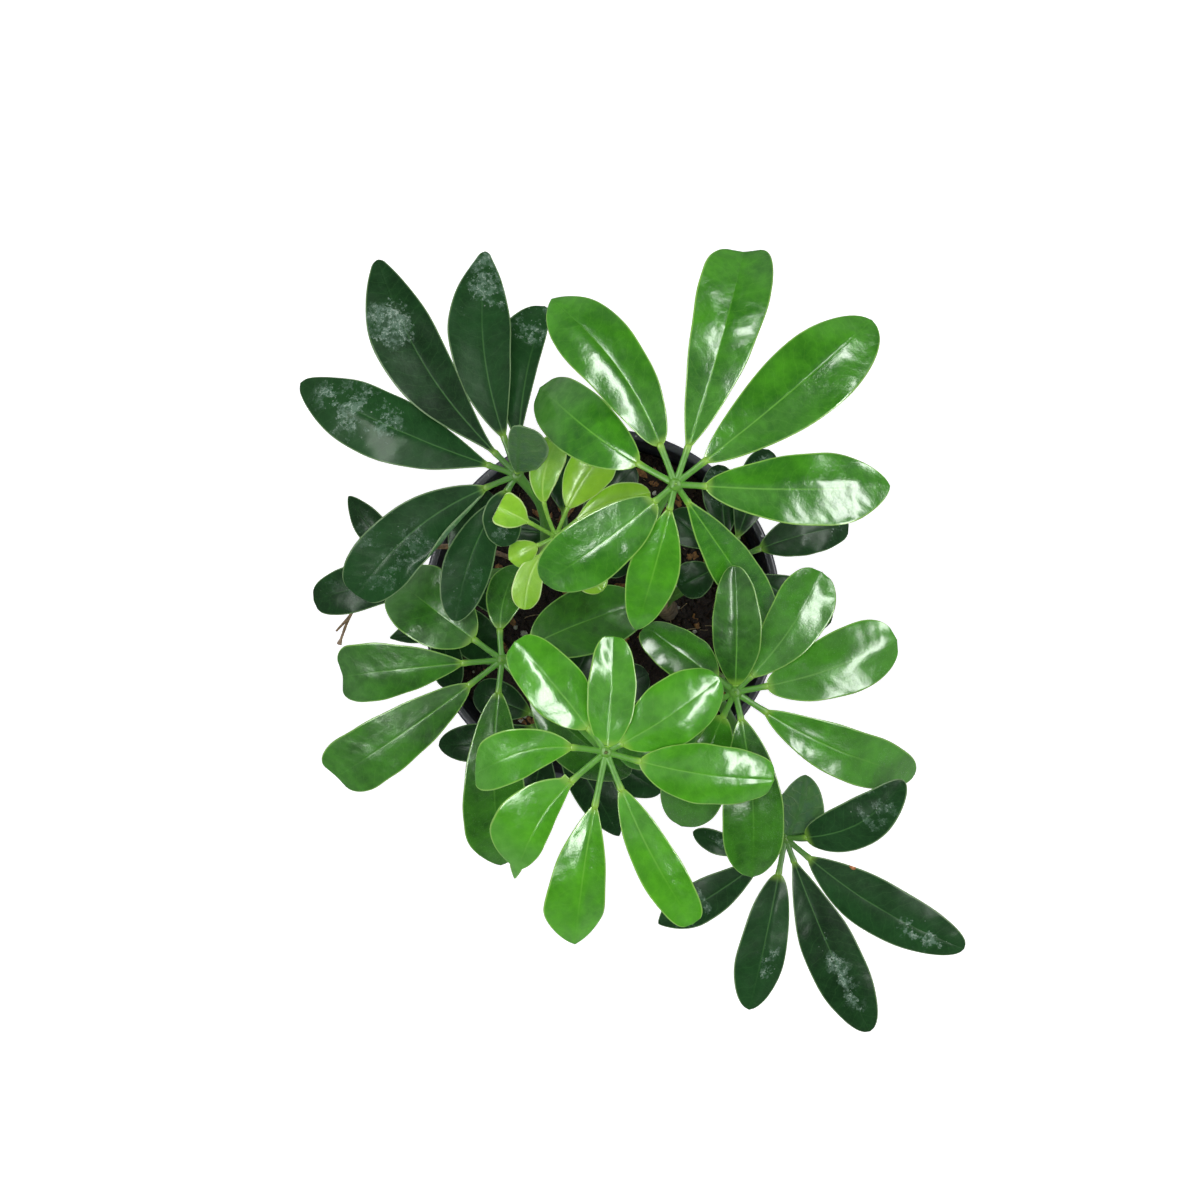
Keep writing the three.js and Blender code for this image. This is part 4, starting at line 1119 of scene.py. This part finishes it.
def make_dry_stalk():
    foot = stem_centre(DRY_STALK["stem"], DRY_STALK["height"])
    line, walked = smooth_line([foot, *DRY_STALK["points"]], DRY_ROWS)
    base_radius, tip_radius = DRY_STALK["base_radius"], DRY_STALK["tip_radius"]
    radius = base_radius + (tip_radius - base_radius) * walked / walked[-1]
    radius = radius * (1 + 0.08 * ripple(line, 6, SEED) + 0.06 * ripple(line, 2.5, SEED + 1))
    radius = radius + 0.9 * bell(walked, 2, 3) + 0.35 * bell(walked, walked[-1], 1.2)
    shells = Shells()
    shells.add_rings(tube_rings(line, radius, DRY_SIDES))
    side, _ = smooth_line(DRY_STALK["fork"], FORK_ROWS)
    shells.add_rings(tube_rings(side, np.linspace(0.6, 0.35, FORK_ROWS), FORK_SIDES))
    return declare(shells.make("dry_stalk_fine", [DRY]), "dry_stalk", "dry_stalk")


# Pot


def rounded(corners, radius, steps=4):
    """The outline with each inner corner turned into a small curve"""
    points = [np.array(corner, float) for corner in corners]
    result = [points[0]]
    for before, here, after in zip(points, points[1:], points[2:]):
        to_before, to_after = np.linalg.norm(before - here), np.linalg.norm(after - here)
        size = min(radius, to_before / 2.2, to_after / 2.2)
        start = here + (before - here) / to_before * size
        end = here + (after - here) / to_after * size
        for share in np.linspace(0, 1, steps):
            result.append((1 - share) ** 2 * start + 2 * share * (1 - share) * here + share**2 * end)
    result.append(points[-1])
    return np.array(result)


def pot_inner_radius(z):
    slope = (RIM_RADIUS - COLLAR_STEP - BASE_RADIUS) / (POT_HEIGHT - COLLAR_HEIGHT)
    return BASE_RADIUS + slope * z - WALL


def lathe(corners, sides):
    """One ring round the upright for each corner, given by its radius and its height"""
    turn = full_turn(sides)
    radius = np.maximum(corners[:, :1], 0.01)
    height = corners[:, 1:] * np.ones(sides)
    return np.stack([radius * np.cos(turn), radius * np.sin(turn), height], -1)


def pot_corners():
    """The pot's section, from the middle of its base round the rim to the middle of its floor"""
    shoulder = POT_HEIGHT - COLLAR_HEIGHT
    body_top = pot_inner_radius(shoulder) + WALL
    collar_inner = RIM_RADIUS - WALL - 1
    foot = [
        (0, 0), (BASE_DISC_RADIUS, 0), (BASE_DISC_RADIUS + 1, FOOT_RECESS),
        (FOOT_INNER_RADIUS, FOOT_RECESS), (FOOT_INNER_RADIUS + 1, 0),
        (BASE_RADIUS - 2, 0), (BASE_RADIUS, 2),
    ]
    outside = [
        (body_top - 0.4, shoulder - 4), (body_top, shoulder), (RIM_RADIUS - 0.8, shoulder + 0.6),
        (RIM_RADIUS - 0.4, POT_HEIGHT - LIP_DEPTH), (RIM_RADIUS, POT_HEIGHT - LIP_DEPTH + 0.6),
        (RIM_RADIUS, POT_HEIGHT - 0.7), (RIM_RADIUS - 0.7, POT_HEIGHT),
    ]
    inside = [
        (collar_inner - 0.6, POT_HEIGHT), (collar_inner - 1.2, shoulder + 1.8),
        (pot_inner_radius(shoulder), shoulder - 0.8), (pot_inner_radius(POT_FLOOR), POT_FLOOR),
        (0, POT_FLOOR),
    ]
    return foot + outside + inside


def drain_cutter():
    drains = Shells()
    hole = lathe(np.array([(DRAIN_RADIUS, -2.0), (DRAIN_RADIUS, POT_FLOOR + 2)]), DRAIN_SIDES)
    for angle in full_turn(DRAIN_COUNT) + math.pi / DRAIN_COUNT:
        drains.add_rings(hole + (DRAIN_CIRCLE * math.cos(angle), DRAIN_CIRCLE * math.sin(angle), 0))
    return drains.make("drain_cutter", [PLASTIC])


def make_pot():
    shells = Shells()
    shells.add_rings(lathe(rounded(pot_corners(), CORNER_RADIUS), POT_SIDES))
    piece = shells.make("pot_fine", [PLASTIC])
    cutter = drain_cutter()
    cut = piece.modifiers.new("drains", "BOOLEAN")
    cut.operation = "DIFFERENCE"
    cut.solver = "EXACT"
    cut.object = cutter
    bpy.context.view_layer.update()
    finished = bpy.data.meshes.new_from_object(piece.evaluated_get(bpy.context.evaluated_depsgraph_get()))
    piece.modifiers.clear()
    piece.data = finished
    piece.data.set_sharp_from_angle(angle=math.radians(40))
    bpy.data.objects.remove(cutter)
    return declare(piece, "pot_plastic", "pot")


# Soil


def soil_height(x, y):
    lumps = np.sin(x * 0.21 + 1) * np.cos(y * 0.24) + 0.6 * np.sin(x * 0.5 + y * 0.37)
    settled = 2.2 * np.minimum(1, np.hypot(x, y) / RIM_RADIUS) ** 2
    return SOIL_TOP + SOIL_RELIEF * 0.5 * lumps - settled


def on_soil(x, y):
    """Points on the rough top of the soil"""
    spots = np.stack([x, y], -1)
    crumbs = 0.45 * ripple(spots, 5.5, SEED + 1) + 0.35 * ripple(spots, 2.4, SEED + 2, 14)
    rough_height = soil_height(x, y) + crumbs + 0.22 * ripple(spots, 1.1, SEED + 3, 18) - 0.4
    return np.stack([x, y, rough_height], -1)


def make_soil():
    ground = POT_FLOOR + SOIL_GAP
    shoulder = SOIL_TOP - 6
    outer = pot_inner_radius(shoulder) - SOIL_GAP
    side = [(0.02, ground), (pot_inner_radius(ground) - SOIL_GAP, ground), (outer, shoulder)]
    turn = full_turn(SOIL_SIDES)
    radius = outer * (1 - np.linspace(0, 0.998, SOIL_RINGS))[:, None]
    top = on_soil(radius * np.cos(turn), radius * np.sin(turn))
    shells = Shells()
    shells.add_rings(np.concatenate([lathe(np.array(side), SOIL_SIDES), top]), trait=(0, 0.1, 0))
    return declare(shells.make("soil_fine", [SOIL]), "potting_soil", "soil")


def soil_spots(rng, count, margin=2.0):
    """Seeded points on the soil, at least the margin away from the wall"""
    outer = pot_inner_radius(SOIL_TOP - 4) - margin
    radius = outer * np.sqrt(rng.uniform(size=count))
    turn = rng.uniform(0, 2 * math.pi, count)
    return on_soil(radius * np.cos(turn), radius * np.sin(turn))


def turned(points, rng, most):
    """The points leant over by a seeded angle and spun about the upright"""
    lean = Matrix.Rotation(rng.uniform(-most, most), 3, "X")
    spin = Matrix.Rotation(rng.uniform(0, 2 * math.pi), 3, "Z")
    return points @ np.array(spin @ lean).T


def add_grain(shells, rng, spot, size, rows, sides, most=math.pi, power=1):
    """One angular lump with a size in three directions. Its lean and its tone are seeded, and a higher
    power makes pale ones rarer."""
    ball = ball_rings(rows, sides, 0.25, rng.uniform(0, 1))
    ball = ball * rng.uniform(0.75, 1.2, (rows, sides))[..., None] * size
    rings = turned(ball, rng, most) + spot
    shells.add_rings(rings, trait=(0, rng.uniform() ** power, 0))


def make_crumbs():
    rng = np.random.default_rng(SEED + 11)
    shells = Shells()
    for spot in soil_spots(rng, CRUMB_COUNT):
        size = rng.uniform(0.5, 1.6) * np.array([rng.uniform(*span) for span in CRUMB_SPANS])
        add_grain(shells, rng, spot + (0, 0, 0.2 * size[2]), size, 5, 7, power=4)
    return declare(shells.make("soil_crumbs", [SOIL], smooth=False), "potting_soil")


def make_chips():
    rng = np.random.default_rng(SEED + 12)
    shells = Shells()
    for spot in soil_spots(rng, CHIP_COUNT, 5.0):
        size = np.array([rng.uniform(*span) for span in CHIP_SPANS])
        add_grain(shells, rng, spot + (0, 0, 0.5), size, 5, 8, most=0.5, power=2)
    return declare(shells.make("bark_chips", [CHIPS], smooth=False), "potting_soil")


def make_perlite():
    rng = np.random.default_rng(SEED + 13)
    shells = Shells()
    for spot in soil_spots(rng, PERLITE_COUNT, 4.0):
        size = rng.uniform(0.4, 1.2) * np.array([rng.uniform(0.9, 1.3), 1.0, 0.8])
        add_grain(shells, rng, spot + (0, 0, 0.5), size, 7, 10)
    return declare(shells.make("perlite", [PERLITE]), "potting_soil")


def make_fibres():
    rng = np.random.default_rng(SEED + 14)
    shells = Shells()
    for spot in soil_spots(rng, FIBRE_COUNT, 8.0):
        heading = rng.uniform(0, 2 * math.pi)
        bend = rng.uniform(-0.5, 0.5)
        step = rng.uniform(1.2, 2.6)
        points = [spot]
        for _ in range(5):
            heading += bend + rng.uniform(-0.4, 0.4)
            x = points[-1][0] + step * math.cos(heading)
            y = points[-1][1] + step * math.sin(heading)
            points.append(on_soil(np.array(x), np.array(y)) + (0, 0, rng.uniform(0.1, 0.9)))
        line, _ = smooth_line(points, FIBRE_ROWS)
        rings = tube_rings(line, np.full(FIBRE_ROWS, rng.uniform(0.1, 0.22)), FIBRE_SIDES)
        shells.add_rings(rings, trait=(0, rng.uniform(), 0))
    return declare(shells.make("fine_roots", [FIBRE]), "potting_soil")


# Making the plant

UPPER = {finish: upper_material(finish) for finish in FINISHES}
UNDER = {finish: under_material(finish) for finish in FINISHES}
STALK = {finish: stalk_material(finish) for finish in FINISHES}
BARK = bark_material()
DRY = dry_material()
PLASTIC = pot_material()
SOIL = soil_material("soil", colour(18, 12, 9), colour(54, 39, 28), colour(128, 96, 64), 0.4)
CHIPS = soil_material("bark_chip", colour(70, 44, 26), colour(172, 124, 76), colour(206, 172, 124), 0.4)
PERLITE = soil_material("perlite", colour(150, 146, 138), colour(214, 211, 204), colour(236, 236, 230), 0.5)
FIBRE = soil_material("root_fibre", colour(96, 76, 52), colour(176, 156, 122), colour(206, 192, 162), 0.5)

make_pot()
make_soil()
make_crumbs()
make_chips()
make_perlite()
make_fibres()
for order, stem_name in enumerate(STEMS):
    make_stem(stem_name, order)
for order, (leaf_name, leaf_shape) in enumerate(LEAVES.items()):
    make_leaf(leaf_name, leaf_shape, order)
make_dry_stalk()


# Stage, light and camera


def make_floor():
    mesh = bpy.data.meshes.new("floor")
    corners = [(-FLOOR_REACH, -FLOOR_REACH, 0), (FLOOR_REACH, -FLOOR_REACH, 0),
               (FLOOR_REACH, FLOOR_REACH, 0), (-FLOOR_REACH, FLOOR_REACH, 0)]
    mesh.from_pydata(corners, [], [(0, 1, 2, 3)])
    floor = put_in_scene(bpy.data.objects.new("floor", mesh))
    tree = Tree("floor")
    tree.set(Base_Color=(0.9, 0.9, 0.9, 1.0), Roughness=0.9, Specular_IOR_Level=0.0)
    tree.set(Emission_Color=(1.0, 1.0, 1.0, 1.0), Emission_Strength=0.6)
    mesh.materials.append(tree.material)
    floor.visible_glossy = False


def add_soft_light(name, azimuth, zenith, brightness, distance, size):
    """A soft box of the given size in metres, whose face is as many times brighter than white paper"""
    data = bpy.data.lights.new(name, "AREA")
    data.shape = "RECTANGLE"
    data.size, data.size_y = size
    data.energy = brightness * math.pi * size[0] * size[1]
    light = put_in_scene(bpy.data.objects.new(name, data))
    az, tilt = math.radians(azimuth), math.radians(zenith)
    away = Vector((math.cos(az) * math.sin(tilt), math.sin(az) * math.sin(tilt), math.cos(tilt)))
    light.location = LIGHT_AIM + away * distance
    light.rotation_mode = "QUATERNION"
    light.rotation_quaternion = away.to_track_quat("Z", "Y")
    light.visible_camera = False
    return light


def add_lights():
    """Two window strips that show in the glossy blades alone, and a wide ceiling for everything else"""
    strip = {"distance": 1.3, "size": (1.5, 0.26)}
    left = add_soft_light("window_left", azimuth=175, zenith=36, brightness=22.0, **strip)
    right = add_soft_light("window_right", azimuth=5, zenith=47, brightness=21.0, **strip)
    for window in (left, right):
        window.visible_diffuse = False
    ceiling = add_soft_light("ceiling", azimuth=0, zenith=0, brightness=2.5, distance=1.9, size=(2.4, 2.4))
    ceiling.visible_glossy = False


def make_world():
    """A white room that is brighter near the floor than overhead"""
    world = bpy.data.worlds.new("studio")
    world.use_nodes = True
    nodes, links = world.node_tree.nodes, world.node_tree.links
    direction = nodes.new("ShaderNodeTexCoord")
    parts = nodes.new("ShaderNodeSeparateXYZ")
    fade = nodes.new("ShaderNodeMapRange")
    fade.interpolation_type = "SMOOTHSTEP"
    for name, value in {"From Min": 0.0, "From Max": 0.6, "To Min": 0.36, "To Max": 0.03}.items():
        fade.inputs[name].default_value = value
    links.new(direction.outputs["Generated"], parts.inputs[0])
    links.new(parts.outputs[2], fade.inputs[0])
    links.new(fade.outputs[0], nodes["Background"].inputs["Strength"])
    nodes["Background"].inputs["Color"].default_value = (1.0, 1.0, 1.0, 1.0)
    bpy.context.scene.world = world
    bpy.context.scene.view_settings.view_transform = "Standard"


def make_camera():
    data = bpy.data.cameras.new("camera")
    data.sensor_width = SENSOR
    data.lens = FOCAL_PIXELS * SENSOR / IMAGE_PIXELS
    camera = put_in_scene(bpy.data.objects.new("camera", data))
    camera.location = (CAMERA_ASIDE[0] * MM, CAMERA_ASIDE[1] * MM, CAMERA_HEIGHT * MM)
    bpy.context.scene.camera = camera


make_floor()
add_lights()
make_world()
make_camera()
